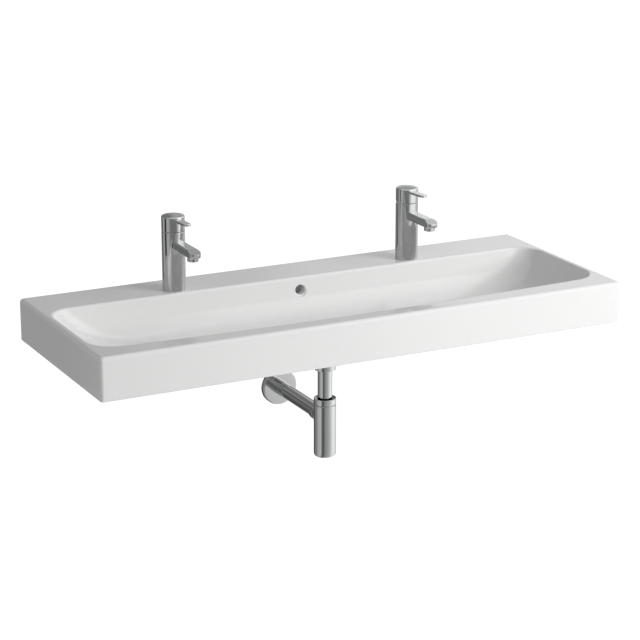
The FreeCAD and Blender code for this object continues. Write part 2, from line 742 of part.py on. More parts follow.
def make_fixing(name, x, y):
    """Stud, horseshoe washers and tube nut that hold the mixer on the deck."""
    stud = cylinder(stud_radius, -deck_thickness - stud_hang, stud_grip, 0, stud_offset)
    export(name + "_fixing_stud", stud, x, y)
    gasket_low = -deck_thickness - washer_thickness
    plate_low = gasket_low - washer_thickness
    for piece, low in (("_fixing_gasket", gasket_low), ("_fixing_plate", plate_low)):
        high = low + washer_thickness
        half_slot = washer_slot_width / 2
        washer = cylinder(washer_radius, low, high, 0, washer_offset)
        washer = washer.cut(block(-half_slot, half_slot, -washer_radius, washer_slot_back, low, high))
        washer = washer.cut(cylinder(stud_radius + loose_clearance, low, high, 0, stud_offset))
        export(name + piece, washer, x, y)
    nut_low = plate_low - tube_nut_length
    nut = hexagon(tube_nut_flats, nut_low, plate_low, 0, stud_offset)
    nut = nut.cut(cylinder(stud_radius + thread_clearance, nut_low, plate_low, 0, stud_offset))
    export(name + "_fixing_nut", nut, x, y)


def pivot_bar(radius):
    """Bar along X through the lever's pivot."""
    return Part.makeCylinder(radius, pivot_pin_length, vector(-pivot_pin_length / 2, 0, pivot_height), x_axis)


def make_cartridge(name, x, y):
    """Ceramic-disc cartridge: housing, seals, two discs, turning carrier, pivot pin and clamping nut."""
    neck_bore = neck_radius + running_clearance
    housing = cylinder(cartridge_radius, cartridge_bottom, cartridge_top)
    housing = housing.cut(cylinder(cartridge_bore, disc_bottom, cartridge_lip_bottom))
    housing = housing.cut(cylinder(neck_bore, cartridge_lip_bottom, cartridge_top))
    window_back = cartridge_wall - cartridge_bore
    window = cylinder_y(spout_water_radius, -cartridge_radius - overrun, window_back, 0, water_height)
    housing = housing.cut(window)
    fixed = cylinder(fixed_disc_radius, disc_bottom, disc_top)
    fixed = fixed.cut(cylinder(water_radius, disc_bottom, disc_top, 0, disc_outlet_offset))
    seals = []
    seal_top = cartridge_bottom + cartridge_seal_height
    for hose_x, hose_y in hose_places():
        pocket = cylinder(cartridge_seal_radius, cartridge_bottom, seal_top, hose_x, hose_y)
        housing = housing.cut([pocket, cylinder(water_radius, cartridge_bottom, disc_bottom, hose_x, hose_y)])
        fixed = fixed.cut(cylinder(water_radius, disc_bottom, disc_top, hose_x, hose_y))
        seals.append(ring(cartridge_seal_radius, water_radius, cartridge_bottom, seal_top, hose_x, hose_y))
    export(name + "_cartridge_housing", housing, x, y)
    export(name + "_cartridge_seals", Part.makeCompound(seals), x, y)
    export(name + "_fixed_disc", fixed, x, y)
    boss_low = disc_top + moving_disc_height
    boss_high = boss_low + moving_boss_height
    moving = cylinder(moving_disc_radius, disc_top, boss_low)
    moving = moving.fuse(cylinder(moving_boss_radius, boss_low, boss_high))
    socket_radius = stem_ball_radius + loose_clearance
    moving = moving.cut(cylinder(socket_radius, boss_high - moving_socket_depth, boss_high)).removeSplitter()
    export(name + "_moving_disc", moving, x, y)
    carrier = cylinder(cartridge_bore - running_clearance, carrier_bottom, shoulder_top)
    carrier = carrier.fuse(cylinder(neck_radius, shoulder_top, neck_top))
    carrier = carrier.cut(block(-carrier_slot_width / 2, carrier_slot_width / 2, -carrier_slot_length / 2,
                                carrier_slot_length / 2, carrier_bottom, neck_top))
    pin = pivot_bar(pivot_pin_radius)
    export(name + "_carrier", carrier.cut(pin).removeSplitter(), x, y)
    export(name + "_pivot_pin", pin, x, y)
    nut_top = cartridge_top + cartridge_nut_height
    nut = ring(cartridge_nut_radius, neck_radius + 2 * loose_clearance, cartridge_top, nut_top)
    export(name + "_cartridge_nut", nut, x, y)


def make_lever(name, x, y):
    """Lever cap with its tongue, the stem that it turns and the set screw between them."""
    top = lever_bottom + lever_height
    crown_radius = (column_radius ** 2 + lever_crown ** 2) / (2 * lever_crown)
    cap = cylinder(column_radius, lever_bottom, top)
    cap = cap.common(Part.makeSphere(crown_radius, vector(0, 0, top - crown_radius)))
    shoulder = edges_where(cap, lambda b: near(b.ZMin, b.ZMax) and b.ZMin > lever_bottom + lever_height / 2)
    cap = cap.makeFillet(lever_edge_round, shoulder)
    root = column_radius - lever_wall / 2
    tongue = tapered_plate(tongue_root_width, tongue_tip_width, root, tongue_reach, tongue_tip_round, 0,
                           tongue_thickness)
    long_edges = edges_where(tongue, lambda b: near(b.ZLength, 0) and b.YMin < -root - tongue_thickness)
    tongue = tongue.makeFillet(tongue_edge_round, long_edges)
    tongue.rotate(vector(0, -root, 0), x_axis, -tongue_rise_deg)
    tongue.translate(vector(0, 0, lever_bottom + tongue_root_rise))
    lever = cap.fuse(tongue).removeSplitter()
    lever = lever.cut(cylinder(column_radius - lever_wall, lever_bottom, lever_ceiling))
    socket = stem_width / 2 + thread_clearance
    lever = lever.cut(block(-socket, socket, -socket, socket, lever_ceiling, stem_top + thread_clearance))
    screw_start = stem_width / 2 + thread_clearance
    beyond = column_radius + overrun
    lever = lever.cut(cylinder_y(set_screw_radius, stem_width / 2, beyond, 0, set_screw_height))
    relief = math.radians(lever_relief_deg)
    clear_height = column_height + lever_relief_gap - pivot_height
    relief_start = pivot_height + clear_height / math.cos(relief)
    relief_end = relief_start + beyond * math.tan(relief)
    below = lever_bottom - overrun
    wedge = profile_x([(0, below), (0, relief_start), (beyond, relief_end), (beyond, below)], beyond)
    export(name + "_lever", lever.cut(wedge).removeSplitter(), x, y)
    screw = cylinder_y(set_screw_radius, screw_start, screw_start + set_screw_length, 0, set_screw_height)
    export(name + "_set_screw", screw, x, y)
    stem = block(-stem_width / 2, stem_width / 2, -stem_width / 2, stem_width / 2, stem_bottom, stem_top)
    stem = stem.fuse([cylinder(stem_neck_radius, stem_ball_height, stem_bottom),
                      Part.makeSphere(stem_ball_radius, vector(0, 0, stem_ball_height))])
    stem = stem.cut(pivot_bar(pivot_pin_radius + running_clearance))
    export(name + "_stem", stem.removeSplitter(), x, y)


def make_mixers():
    """Left and right mixer, alike, on either side of the basin's middle."""
    for name, side in (("left", -1), ("right", 1)):
        x = side * tap_spacing / 2
        y = -tap_from_wall
        make_mixer_body(name, x, y)
        make_aerator(name, x, y)
        make_fixing(name, x, y)
        make_cartridge(name, x, y)
        make_lever(name, x, y)


os.makedirs("parts", exist_ok=True)
make_basin()
make_waste()
make_trap()
make_mixers()
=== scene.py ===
"""Looks of a wide washbasin for a wall: glazed ceramic, two chrome mixers, a waste and a bottle trap."""
import math

import bmesh
import bpy
from mathutils import Matrix, Vector


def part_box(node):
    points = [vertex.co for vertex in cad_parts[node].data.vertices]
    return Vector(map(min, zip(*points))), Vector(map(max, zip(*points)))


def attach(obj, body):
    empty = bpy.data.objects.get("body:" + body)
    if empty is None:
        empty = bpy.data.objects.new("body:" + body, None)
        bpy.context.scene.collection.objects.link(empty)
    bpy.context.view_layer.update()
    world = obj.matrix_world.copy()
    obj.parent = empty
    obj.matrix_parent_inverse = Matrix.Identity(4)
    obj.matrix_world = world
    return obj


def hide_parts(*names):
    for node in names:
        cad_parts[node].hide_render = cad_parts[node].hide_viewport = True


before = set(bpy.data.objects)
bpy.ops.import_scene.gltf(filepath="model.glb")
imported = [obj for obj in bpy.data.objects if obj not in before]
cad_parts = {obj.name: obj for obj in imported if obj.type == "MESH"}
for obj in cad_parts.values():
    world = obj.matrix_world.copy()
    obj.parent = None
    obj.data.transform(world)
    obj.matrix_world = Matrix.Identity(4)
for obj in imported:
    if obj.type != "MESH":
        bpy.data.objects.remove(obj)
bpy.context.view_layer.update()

bl_info = {
    "name": "Wide washbasin",
    "version": (1, 0, 0),
    "blender": (4, 5, 0),
    "location": "View3D > Sidebar > Washbasin",
    "description": "Dresses the packed washbasin with smooth ceramic and chrome pieces",
    "category": "Object",
}

basin_low, basin_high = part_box("basin")
deck = basin_high.z
SIDES = {"left": -1, "right": 1}
QUARTER = math.pi / 2

# Distances in metres below which two points count as one, a point as on a plane and an edge as straight.
SAME_POINT = 1e-6
WELDED_POINT = 2e-6
SAME_PLANE = 1e-7
STRAIGHT_RUN = 1e-9

# Facets of a full turn.
TURNED_FACETS = 128
MIXER_FACETS = 160
AERATOR_FACETS = 96
HOLE_FACETS = 64
BOLT_FACETS = 48
FLATS_FACETS = 180

# Edges sharper than these angles are picked for rounding at the tips of the spout and the tongue.
SPOUT_EDGE = math.radians(15)
TONGUE_EDGE = math.radians(45)

# Down the bowl's wall: shares of its depth, of the ends' draw, of the sides' draw and of the corners' growth.
WALL_SHARES = (
    (0.26, 0.08, 0.08, 0.16),
    (0.55, 0.25, 0.22, 0.5),
    (0.82, 0.53, 0.5, 0.85),
    (1.0, 1.0, 1.0, 1.0),
)
# Steps between these rows, from the rim to the pan around the drain, inside the bowl and on its underside.
INSIDE_STEPS = (5, 7, 7, 10, 16)
UNDER_STEPS = (3, 4, 4, 6, 8)
# Steps of the rounds along the basin's foot, along its top and rim, and at the overflow's lip.
FOOT_STEPS = 5
EDGE_STEPS = 10
LIP_STEPS = 8
# Cuts in the straight runs of each loop: those along X, which keep their Y, and those along Y.
STRAIGHT_CUTS = ((1, 59), (0, 13))
# Edge of the drain's recess: shares of its round, outwards and down.
RECESS_EDGE = ((1, 0.25), (0.25, 0.625))
# Middle of the boss's rounded foot, as a share of its round.
BOSS_EDGE = 0.3
# Overflow's mouth: where its lip starts in the quarter turn, and how many lips it flares out and stands
# clear of the wall.
LIP_START = 0.1
LIP_FLARE = 1.6
LIP_CLEAR = 4

# Range of the noise in the finishes, how much finer gloss wanders than tone, and the relief's full height.
NOISE_LOW = 0.3
NOISE_HIGH = 0.7
GLOSS_FINER = 3
RELIEF_HEIGHT = 0.0002

# Rings of studio flats, from the floor up. Each flat: from and to in degrees from the front, positive towards
# the right end, and its paleness.
FLATS = {
    "floor_flats": (
        (-180, -152, 0.06), (-138, -118, 0.17), (-86, -72, 0.38), (-65, -62, 0.42), (-46, -35, 0.08),
        (-18, -12, 0.24), (10, 16, 0.36), (34, 38, 0.62), (56, 64, 0.84), (70, 78, 0.78), (90, 112, 0.55),
        (150, 180, 0.16),
    ),
    "low_flats": (
        (-180, -150, 0.15), (-137, -133, 0.08), (-121, -117, 0.36), (-108, -106, 0.2), (-98, -92, 0.0),
        (-84, -70, 0.34), (-52, -12, 0.15), (-5, -3, 0.15), (14, 18, 0.46), (28, 62, 0.8), (76, 147, 0.44),
        (154, 180, 0.08),
    ),
    "back_flats": (
        (-180, -140, 0.08), (-120, -60, 0.22), (-46, -11, 0.3), (-6, 7, 0.4), (16, 82, 1.0), (100, 128, 0.6),
        (142, 180, 0.08),
    ),
    "high_flats": (
        (-180, -60, 0.22), (-46, -11, 0.3), (-6, 7, 0.4), (16, 82, 1.0), (100, 132, 0.7), (144, 150, 0.5),
        (158, 164, 0.32), (172, 180, 0.24),
    ),
    "top_flats": (
        (-180, -150, 0.14), (-130, -60, 0.22), (-46, -11, 0.3), (-6, 7, 0.4), (16, 82, 1.0), (96, 120, 0.6),
        (134, 164, 0.3), (172, 180, 0.14),
    ),
}


# Settings


def length(name, default, description):
    """Length setting in metres."""
    return bpy.props.FloatProperty(name=name, default=default, description=description, unit="LENGTH",
                                   precision=4)


def share(name, default, description):
    """Setting from 0 to 1."""
    return bpy.props.FloatProperty(name=name, default=default, description=description, min=0, max=1,
                                   subtype="FACTOR")


def slant(name, degrees, description):
    """Angle setting, given in degrees."""
    return bpy.props.FloatProperty(name=name, default=math.radians(degrees), description=description,
                                   subtype="ANGLE")


def spot(name, default, description):
    """Place in the room, in metres."""
    return bpy.props.FloatVectorProperty(name=name, default=default, description=description, subtype="XYZ",
                                         unit="LENGTH")


def tint(name, default, description):
    """Colour setting."""
    return bpy.props.FloatVectorProperty(name=name, default=default, description=description, min=0, max=1,
                                         subtype="COLOR")


class BasinSizes(bpy.types.PropertyGroup):
    """Sizes of the ceramic basin"""

    width: length("Width", basin_high.x - basin_low.x, "From end to end")
    depth: length("Depth", -basin_low.y, "From the wall to the front")
    apron: length("Apron", 0.091, "Height of the outer faces")
    apron_wall: length("Apron wall", 0.016, "Thickness of the front and the ends")
    back_wall: length("Back wall", 0.020, "Thickness of the face on the wall")
    deck_wall: length("Deck thickness", 0.018, "Thickness of the flat deck")
    upright_round: length("Upright round", 0.007, "Round of the two front corners")
    top_round: length("Top round", 0.008, "Round of the top edge")
    foot_round: length("Foot round", 0.002, "Round of the bottom edge")
    back_round: length("Back round", 0.0015, "Round of the edges on the wall")
    rear_deck: length("Rear deck", 0.112, "Deck behind the bowl")
    side_rim: length("Side rim", 0.018, "Rim at each end of the bowl")
    front_rim: length("Front rim", 0.064, "Rim in front of the bowl's ends")
    front_bow: length("Front bow", 0.022, "How far the bowl bows towards the room")
    rim_corner: length("Rim corner", 0.052, "Round of the bowl's corners at the rim")
    foot_corner: length("Foot corner", 0.096, "Round of the bowl's corners at the foot")
    rim_round: length("Rim round", 0.006, "Round of the edge into the bowl")
    wall_depth: length("Wall depth", 0.090, "Height of the bowl's walls")
    bowl_depth: length("Bowl depth", 0.108, "From the deck to the drain")
    end_draw: length("End draw", 0.127, "How far each end slopes in")
    side_draw: length("Side draw", 0.035, "How far the back and the front slope in")
    shell: length("Shell", 0.013, "Thickness of the bowl")
    shell_gap: length("Shell gap", 0.0005, "Least gap between the bowl's underside and the ends' walls")
    drain_y: length("Drain", 0.233, "From the wall to the drain")
    pan_half_length: length("Pan length", 0.095, "Half the length of the pan around the drain")
    pan_half_depth: length("Pan depth", 0.052, "Half the depth of the pan around the drain")
    pan_corner: length("Pan corner", 0.045, "Round of the pan's corners")
    pan_bow: length("Pan bow", 0.004, "Bow of the pan's front")
    drain_recess: length("Drain recess", 0.033, "Radius of the seat for the waste")
    recess_depth: length("Recess depth", 0.0015, "Depth of the seat for the waste")
    recess_round: length("Recess round", 0.0008, "Round of the edge into the seat")
    drain_hole: length("Drain hole", 0.0225, "Radius of the drain hole")
    boss: length("Boss", 0.038, "Radius of the boss under the drain")
    boss_drop: length("Boss drop", 0.138, "From the deck to the boss's foot")
    boss_round: length("Boss round", 0.002, "Round of the boss's foot")
    overflow_drop: length("Overflow drop", 0.029, "From the deck to the overflow's middle")
    overflow_draw: share("Overflow draw", 0.1, "Share of the side draw at the overflow's height")
    overflow_radius: length("Overflow radius", 0.011, "Radius of the overflow hole")
    overflow_lip: length("Overflow lip", 0.004, "Round of the overflow's edge")
    duct_half: length("Duct half width", 0.014, "Half the width of the overflow duct")
    duct_gap: length("Duct gap", 0.012, "Depth of the overflow duct")
    duct_wall: length("Duct wall", 0.010, "Thickness around the overflow duct")
    tap_hole: length("Tap hole", 0.0175, "Radius of the mixers' holes")
    tap_x: length("Mixer place", 0.282, "From the middle to each mixer")
    tap_y: length("Mixer from wall", 0.080, "From the wall to each mixer")
    bolt_hole: length("Bolt hole", 0.008, "Radius of the wall bolts' holes")
    bolt_x: length("Bolt place", 0.340, "From the middle to each wall bolt")


class MixerSizes(bpy.types.PropertyGroup):
    """Sizes of the two mixers, counted from the deck and the column's axis"""

    column: length("Column", 0.025, "Radius of the column and of the lever's cap")
    height: length("Height", 0.129, "Top of the column")
    edge: length("Edge round", 0.0010, "Round of the column's and the cap's meeting edges")
    seat: length("Seat", 0.019, "Radius of the cartridge's seat in the column")
    seat_depth: length("Seat depth", 0.007, "Depth of the cartridge's seat")
    spout_width: length("Spout width", 0.026, "Across the spout")
    spout_low: length("Spout foot", 0.0935, "Underside of the spout")
    spout_high: length("Spout top", 0.1115, "Top of the spout")
    spout_reach: length("Spout reach", 0.121, "From the axis to the spout's tip")
    spout_corner: length("Tip corner", 0.009, "Round of the tip's corners")
    spout_round: length("Spout round", 0.005, "Round of the spout's long edges")
    tip_round: length("Tip round", 0.0006, "Round of the tip's edges")
    slope_length: length("Slope length", 0.021, "Length of the sloped top at the tip")
    slope_drop: length("Slope drop", 0.007, "Fall of the sloped top at the tip")
    tip_face: length("Tip face", 0.003, "Height of the tip's upright face")
    chin_length: length("Chin length", 0.0065, "Length of the drawn-in underside at the tip")
    cap_low: length("Cap foot", 0.1298, "Underside of the lever's cap")
    cap_high: length("Cap top", 0.165, "Top of the lever's cap")
    cap_crown: length("Cap crown", 0.0035, "Rise of the cap's domed top")
    cap_edge: length("Cap edge", 0.003, "Round of the cap's top edge")
    cap_wall: length("Cap wall", 0.0045, "Thickness of the cap's skirt")
    cap_ceiling: length("Cap ceiling", 0.1498, "Ceiling inside the cap")
    relief_low: length("Relief", 0.1299, "Height of the cap's slanting foot at the axis")
    relief_slope: slant("Relief slope", 22, "Slant of the cap's foot behind the axis")
    tongue_root: length("Tongue root", 0.02275, "From the axis to the tongue's root")
    tongue_reach: length("Tongue reach", 0.081, "From the axis to the tongue's tip")
    tongue_root_width: length("Tongue root width", 0.020, "Across the tongue at its root")
    tongue_tip_width: length("Tongue tip width", 0.017, "Across the tongue at its tip")
    tongue_thick: length("Tongue thickness", 0.005, "Thickness of the tongue")
    tongue_level: length("Tongue height", 0.153, "Underside of the tongue at its root")
    tongue_corner: length("Tongue corner", 0.007, "Round of the tongue's tip corners")
    tongue_round: length("Tongue round", 0.0015, "Round of the tongue's edges")
    tongue_rise: slant("Tongue rise", 2.5, "How steeply the tongue rises")
    aerator_reach: length("Aerator reach", 0.102, "From the axis to the aerator")
    aerator: length("Aerator", 0.012, "Radius of the aerator")
    aerator_play: length("Aerator play", 0.00005, "Gap around the aerator in the spout")
    aerator_wall: length("Aerator wall", 0.002, "Thickness of the aerator's ring and height of its lip")
    aerator_lip: length("Aerator lip", 0.001, "How far the lip at the ring's foot reaches in")
    aerator_round: length("Aerator round", 0.0008, "Round of the ring's foot")
    aerator_low: length("Aerator foot", 0.0865, "Underside of the aerator")
    aerator_high: length("Aerator top", 0.1005, "Top of the aerator inside the spout")


class TrapSizes(bpy.types.PropertyGroup):
    """Sizes of the plug and the bottle trap, heights counted down from the deck"""

    edge: length("Edge round", 0.0006, "Round of the turned edges")
    plug_crown: length("Plug crown", 0.0015, "Rise of the plug's domed top")
    tube: length("Tube", 0.016, "Radius of the two tubes")
    tube_wall: length("Tube wall", 0.0012, "Thickness of the tubes")
    tube_high: length("Tube top", 0.159, "Top of the inlet tube")
    tube_low: length("Tube foot", 0.340, "Foot of the inlet tube inside the trap")
    tube_gap: length("Tube gap", 0.001, "Gap around the tube in the floors of the ring and the body")
    nut: length("Inlet nut", 0.0235, "Radius of the inlet nut")
    nut_bore: length("Inlet nut bore", 0.02105, "Radius of the inlet nut's bore over the waste")
    nut_high: length("Inlet nut top", 0.154, "Top of the inlet nut")
    nut_ledge: length("Inlet nut ledge", 0.170, "Ledge inside the inlet nut")
    nut_low: length("Inlet nut foot", 0.176, "Foot of the inlet nut")
    nut_play: length("Nut play", 0.0003, "Gap between the nuts and the tubes")
    body: length("Body", 0.0245, "Radius of the trap's body")
    body_wall: length("Body wall", 0.002, "Thickness of the trap's body")
    body_high: length("Body top", 0.2545, "Top of the trap's body")
    body_floor: length("Body floor", 0.003, "Thickness of the floor that the ring's skirt meets")
    ring_high: length("Ring top", 0.240, "Top of the trap's ring")
    ring_floor: length("Ring floor", 0.248, "Floor of the ring's recess")
    ring_ceiling: length("Ring ceiling", 0.251, "Underside of the recess's floor")
    ring_low: length("Ring foot", 0.2535, "Foot of the ring's outer face")
    ring_rim: length("Ring rim", 0.0018, "Thickness of the rim around the recess")
    ring_wall: length("Ring wall", 0.0035, "From the ring's outer face to the bore of its skirt")
    skirt_low: length("Skirt foot", 0.264, "Foot of the ring's skirt inside the body")
    thread_play: length("Thread play", 0.0001, "Gap of the skirt and the cup in the body")
    groove: length("Groove round", 0.0012, "Round of the edges under the trap's ring")
    cup_high: length("Cup top", 0.3505, "Top of the cup inside the body")
    cup_line: length("Cup joint", 0.3625, "Joint of the body and the cup")
    cup_floor: length("Cup floor", 0.3675, "Floor inside the cup")
    cup_low: length("Cup foot", 0.3725, "Foot of the cup")
    cup_wall: length("Cup wall", 0.002, "From the body's bore to the cup's bore")
    cup_round: length("Cup round", 0.007, "Round of the cup's foot")
    outlet_drop: length("Outlet drop", 0.2825, "From the deck to the outlet's axis")
    stub: length("Stub", 0.01755, "Radius of the body's side outlet")
    stub_play: length("Stub play", 0.00015, "Gap around the pipe in the side outlet")
    stub_start: length("Stub start", 0.0235, "From the trap's axis to the start of the side outlet")
    stub_end: length("Stub end", 0.036, "From the trap's axis to the end of the side outlet")
    ring_nut: length("Outlet nut", 0.0191, "Radius of the outlet's ring nut")
    ring_nut_bore: length("Outlet nut bore", 0.0176, "Radius of the ring nut's bore over the side outlet")
    ring_nut_start: length("Outlet nut start", 0.027, "From the trap's axis to the ring nut")
    ring_nut_ledge: length("Outlet nut ledge", 0.039, "From the trap's axis to the ledge in the ring nut")
    ring_nut_end: length("Outlet nut end", 0.042, "From the trap's axis to the ring nut's far face")
    pipe_start: length("Pipe start", 0.2075, "From the wall to the pipe's end inside the trap")
    pipe_end: length("Pipe end", 0.030, "How far the pipe goes into the wall")
    pipe_round: length("Pipe round", 0.0003, "Round of the pipe's end in the wall")
    mark_depth: length("Mark depth", 0.0003, "Depth of the groove that marks how far the pipe goes in")
    mark_width: length("Mark width", 0.002, "Width of that groove")
    rosette: length("Rosette", 0.0415, "Radius of the rosette")
    rosette_thick: length("Rosette thickness", 0.012, "How far the rosette stands off the wall")
    rosette_wall: length("Rosette wall", 0.0015, "Thickness of the rosette's sheet")
    rosette_round: length("Rosette round", 0.003, "Round of the rosette's edge")
    rosette_play: length("Rosette play", 0.00005, "Gap between the rosette and the pipe")
    collar_wall: length("Collar wall", 0.0012, "From the pipe to the outside of the rosette's collar")
    collar_reach: length("Collar reach", 0.034, "From the wall to the collar's end")
    collar_round: length("Collar round", 0.0004, "Round of the collar's end")


class Finishes(bpy.types.PropertyGroup):
    """Colours of the finishes"""

    glaze: tint("Glaze", (0.80, 0.80, 0.795), "Sanitary ceramic")
    glaze_roughness: share("Glaze roughness", 0.03, "How dull the glaze is")
    glaze_bend: bpy.props.FloatProperty(name="Glaze refraction", default=1.52,
                                        description="How strongly the glaze bends and mirrors light")
    chrome: tint("Chrome", (0.60, 0.605, 0.61), "Polished chrome")
    chrome_roughness: share("Chrome roughness", 0.045, "How dull the chrome is")
    rubber: tint("Rubber", (0.035, 0.035, 0.037), "Seals and gaskets")
    brass: tint("Brass", (0.72, 0.52, 0.25), "Nuts and inner turned pieces")
    zinc: tint("Zinc", (0.52, 0.54, 0.56), "Plated studs and plates")
    spring: tint("Spring steel", (0.42, 0.42, 0.43), "Latch spring")
    plastic: tint("Plastic", (0.68, 0.68, 0.66), "Cartridges and aerator inserts")
    disc: tint("Disc ceramic", (0.74, 0.72, 0.68), "Sealing discs of the cartridges")


class StageSettings(bpy.types.PropertyGroup):
    """Floor, lamp, studio flats and camera"""

    floor_level: length("Floor", -0.80, "Height of the floor under the wall bolts")
    floor_size: length("Floor size", 60.0, "Width of the floor")
    floor_glow: share("Floor glow", 0.68, "What the floor adds to its own shading to show white")
    paper: share("Paper", 0.80, "Paleness of the floor")
    paper_roughness: share("Paper roughness", 0.9, "How dull the floor is")
    ambient: share("Ambient", 0.44, "Level of the light from all round")
    lamp_place: spot("Lamp", (2.7, -3.35, 1.42), "Place of the soft lamp")
    lamp_target: spot("Lamp target", (0.1, -0.3, 0), "Point that the soft lamp is turned at")
    lamp_size: length("Lamp size", 2.0, "Width and height of the soft lamp")
    lamp_power: bpy.props.FloatProperty(name="Lamp power", default=131, unit="POWER",
                                        description="Power of the soft lamp")
    flats_radius: length("Flats", 1.5, "Radius of the rings of studio flats")
    flats_gap: length("Flats gap", 0.002, "Gap between the floor and the lowest flats")
    floor_flats_high: length("Floor flats", 0.28, "Top of the lowest ring, above the floor")
    back_flats_high: length("Back flats", 0.28, "Top of the ring that the deck mirrors, above the deck")
    high_flats_high: length("High flats", 0.53, "Top of the ring above that one, above the deck")
    top_flats_high: length("Top flats", 2.4, "Top of the highest ring, above the deck")
    flats_level: bpy.props.FloatProperty(name="Flats level", default=1.6,
                                         description="Brightness of the white flats")
    eye: spot("Eye", (-2.03978, -4.23640, 1.33942), "Place of the camera")
    turn: slant("Turn", 26.8627, "How far the camera looks to the right of straight at the wall")
    dip: slant("Dip", 16.785, "How far the camera looks down")
    lens: bpy.props.FloatProperty(name="Lens", default=123.796, unit="CAMERA", description="Focal length")
    film: bpy.props.FloatProperty(name="Film", default=36, unit="CAMERA", description="Width of the film")


# Shaping. From here on s, m and t are the settings of the basin, the mixers and the trap, f those of the
# finishes and st those of the stage.


def quarter(steps, start=0):
    """Sines and cosines at equal steps over a quarter turn, or over the rest of it after a start."""
    angles = [QUARTER * (start + (1 - start) * step / steps) for step in range(steps + 1)]
    return [(math.sin(angle), math.cos(angle)) for angle in angles]


def domed(radius, crown, top, start, steps):
    """Corners up a dome with that radius and crown, from a start radius on it to the axis."""
    sphere = (radius ** 2 + crown ** 2) / (2 * crown)
    spots = [start * (1 - step / steps) for step in range(steps + 1)]
    return [(across, top - sphere + math.sqrt(sphere ** 2 - across ** 2)) for across in spots]


def joined(bm, points, closed=True):
    """New vertices at the points, in a chain of edges."""
    verts = [bm.verts.new(p) for p in points]
    ends = verts[1:] + verts[:1] if closed else verts[1:]
    for pair in zip(verts, ends):
        bm.edges.new(pair)
    return verts


def round_off(bm, geom, radius, affect, steps):
    """Bevels edges or vertices round."""
    bmesh.ops.bevel(bm, geom=geom, offset=radius, offset_type="OFFSET", segments=steps, profile=0.5,
                    affect=affect, material=-1, clamp_overlap=True)


def outwards(bm):
    """Turns every face to the outside."""
    bmesh.ops.recalc_face_normals(bm, faces=bm.faces)
    if bm.calc_volume(signed=True) < 0:
        bmesh.ops.reverse_faces(bm, faces=bm.faces)


def lathe(corners, facets=TURNED_FACETS):
    """Turned shape about Z from corners: radius, height and, where there is one, round.

    Corners that start on the axis also end on it. Others close to a ring.
    """
    bm = bmesh.new()
    verts = joined(bm, [(radius, 0, height) for radius, height, *_ in corners], closed=corners[0][0] > 0)
    for vert, (_, _, *edge) in zip(verts, corners):
        if edge:
            round_off(bm, [vert], edge[0], "VERTICES", steps=4)
    bmesh.ops.spin(bm, geom=bm.verts[:] + bm.edges[:], cent=(0, 0, 0), axis=(0, 0, 1), angle=4 * QUARTER,
                   steps=facets, use_merge=True)
    bmesh.ops.remove_doubles(bm, verts=bm.verts, dist=SAME_POINT)
    bmesh.ops.dissolve_degenerate(bm, edges=bm.edges, dist=SAME_PLANE)
    outwards(bm)
    return bm


def rod(radius, low, high, facets=TURNED_FACETS):
    """Plain turned rod about Z, to join or to cut with."""
    return lathe([(0, low), (radius, low), (radius, high), (0, high)], facets)


def moved(bm, x=0, y=0, z=0, lying=False):
    """Shifts a shape, and first lays one that stands along Z down along Y."""
    if lying:
        bmesh.ops.rotate(bm, verts=bm.verts, cent=(0, 0, 0), matrix=Matrix.Rotation(-QUARTER, 3, "X"))
    bmesh.ops.translate(bm, verts=bm.verts, vec=(x, y, z))
    return bm


def pushed_out(bm, by):
    """Fills the closed outline and extrudes it to a solid."""
    face = bmesh.ops.edgeloop_fill(bm, edges=bm.edges)
    pushed = bmesh.ops.extrude_face_region(bm, geom=face["faces"], use_keep_orig=True)
    bmesh.ops.translate(bm, verts=[v for v in pushed["geom"] if isinstance(v, bmesh.types.BMVert)], vec=by)
    outwards(bm)


def cut_off(bm, point, normal):
    """Cuts a shape by a plane, drops what lies outside and closes the cut."""
    cut = bmesh.ops.bisect_plane(bm, geom=bm.verts[:] + bm.edges[:] + bm.faces[:], dist=SAME_PLANE,
                                 plane_co=point, plane_no=normal, clear_outer=True)
    bmesh.ops.edgeloop_fill(bm, edges=[e for e in cut["geom_cut"] if isinstance(e, bmesh.types.BMEdge)])


def prism_x(points, half_width):
    """Outline in the YZ plane, extruded to both sides of the middle."""
    bm = bmesh.new()
    joined(bm, [(-half_width, y, z) for y, z in points])
    pushed_out(bm, (2 * half_width, 0, 0))
    return bm


def as_object(name, bm):
    """New object that holds the shape."""
    mesh = bpy.data.meshes.new(name)
    bm.to_mesh(mesh)
    bm.free()
    made = bpy.data.objects.new(name, mesh)
    bpy.context.scene.collection.objects.link(made)
    return made


def combine(piece, bm, operation):
    """Joins a shape to a piece, or cuts it out, and keeps the result as the piece's mesh."""
    tool = as_object("tool", bm)
    step = piece.modifiers.new("combine", "BOOLEAN")
    step.operation = operation
    step.solver = "EXACT"
    step.object = tool
    graph = bpy.context.evaluated_depsgraph_get()
    mesh = bpy.data.meshes.new_from_object(piece.evaluated_get(graph))
    piece.modifiers.clear()
    old = piece.data
    piece.data = mesh
    mesh.name = piece.name
    bpy.data.meshes.remove(old)
    bpy.data.meshes.remove(tool.data)
    return piece


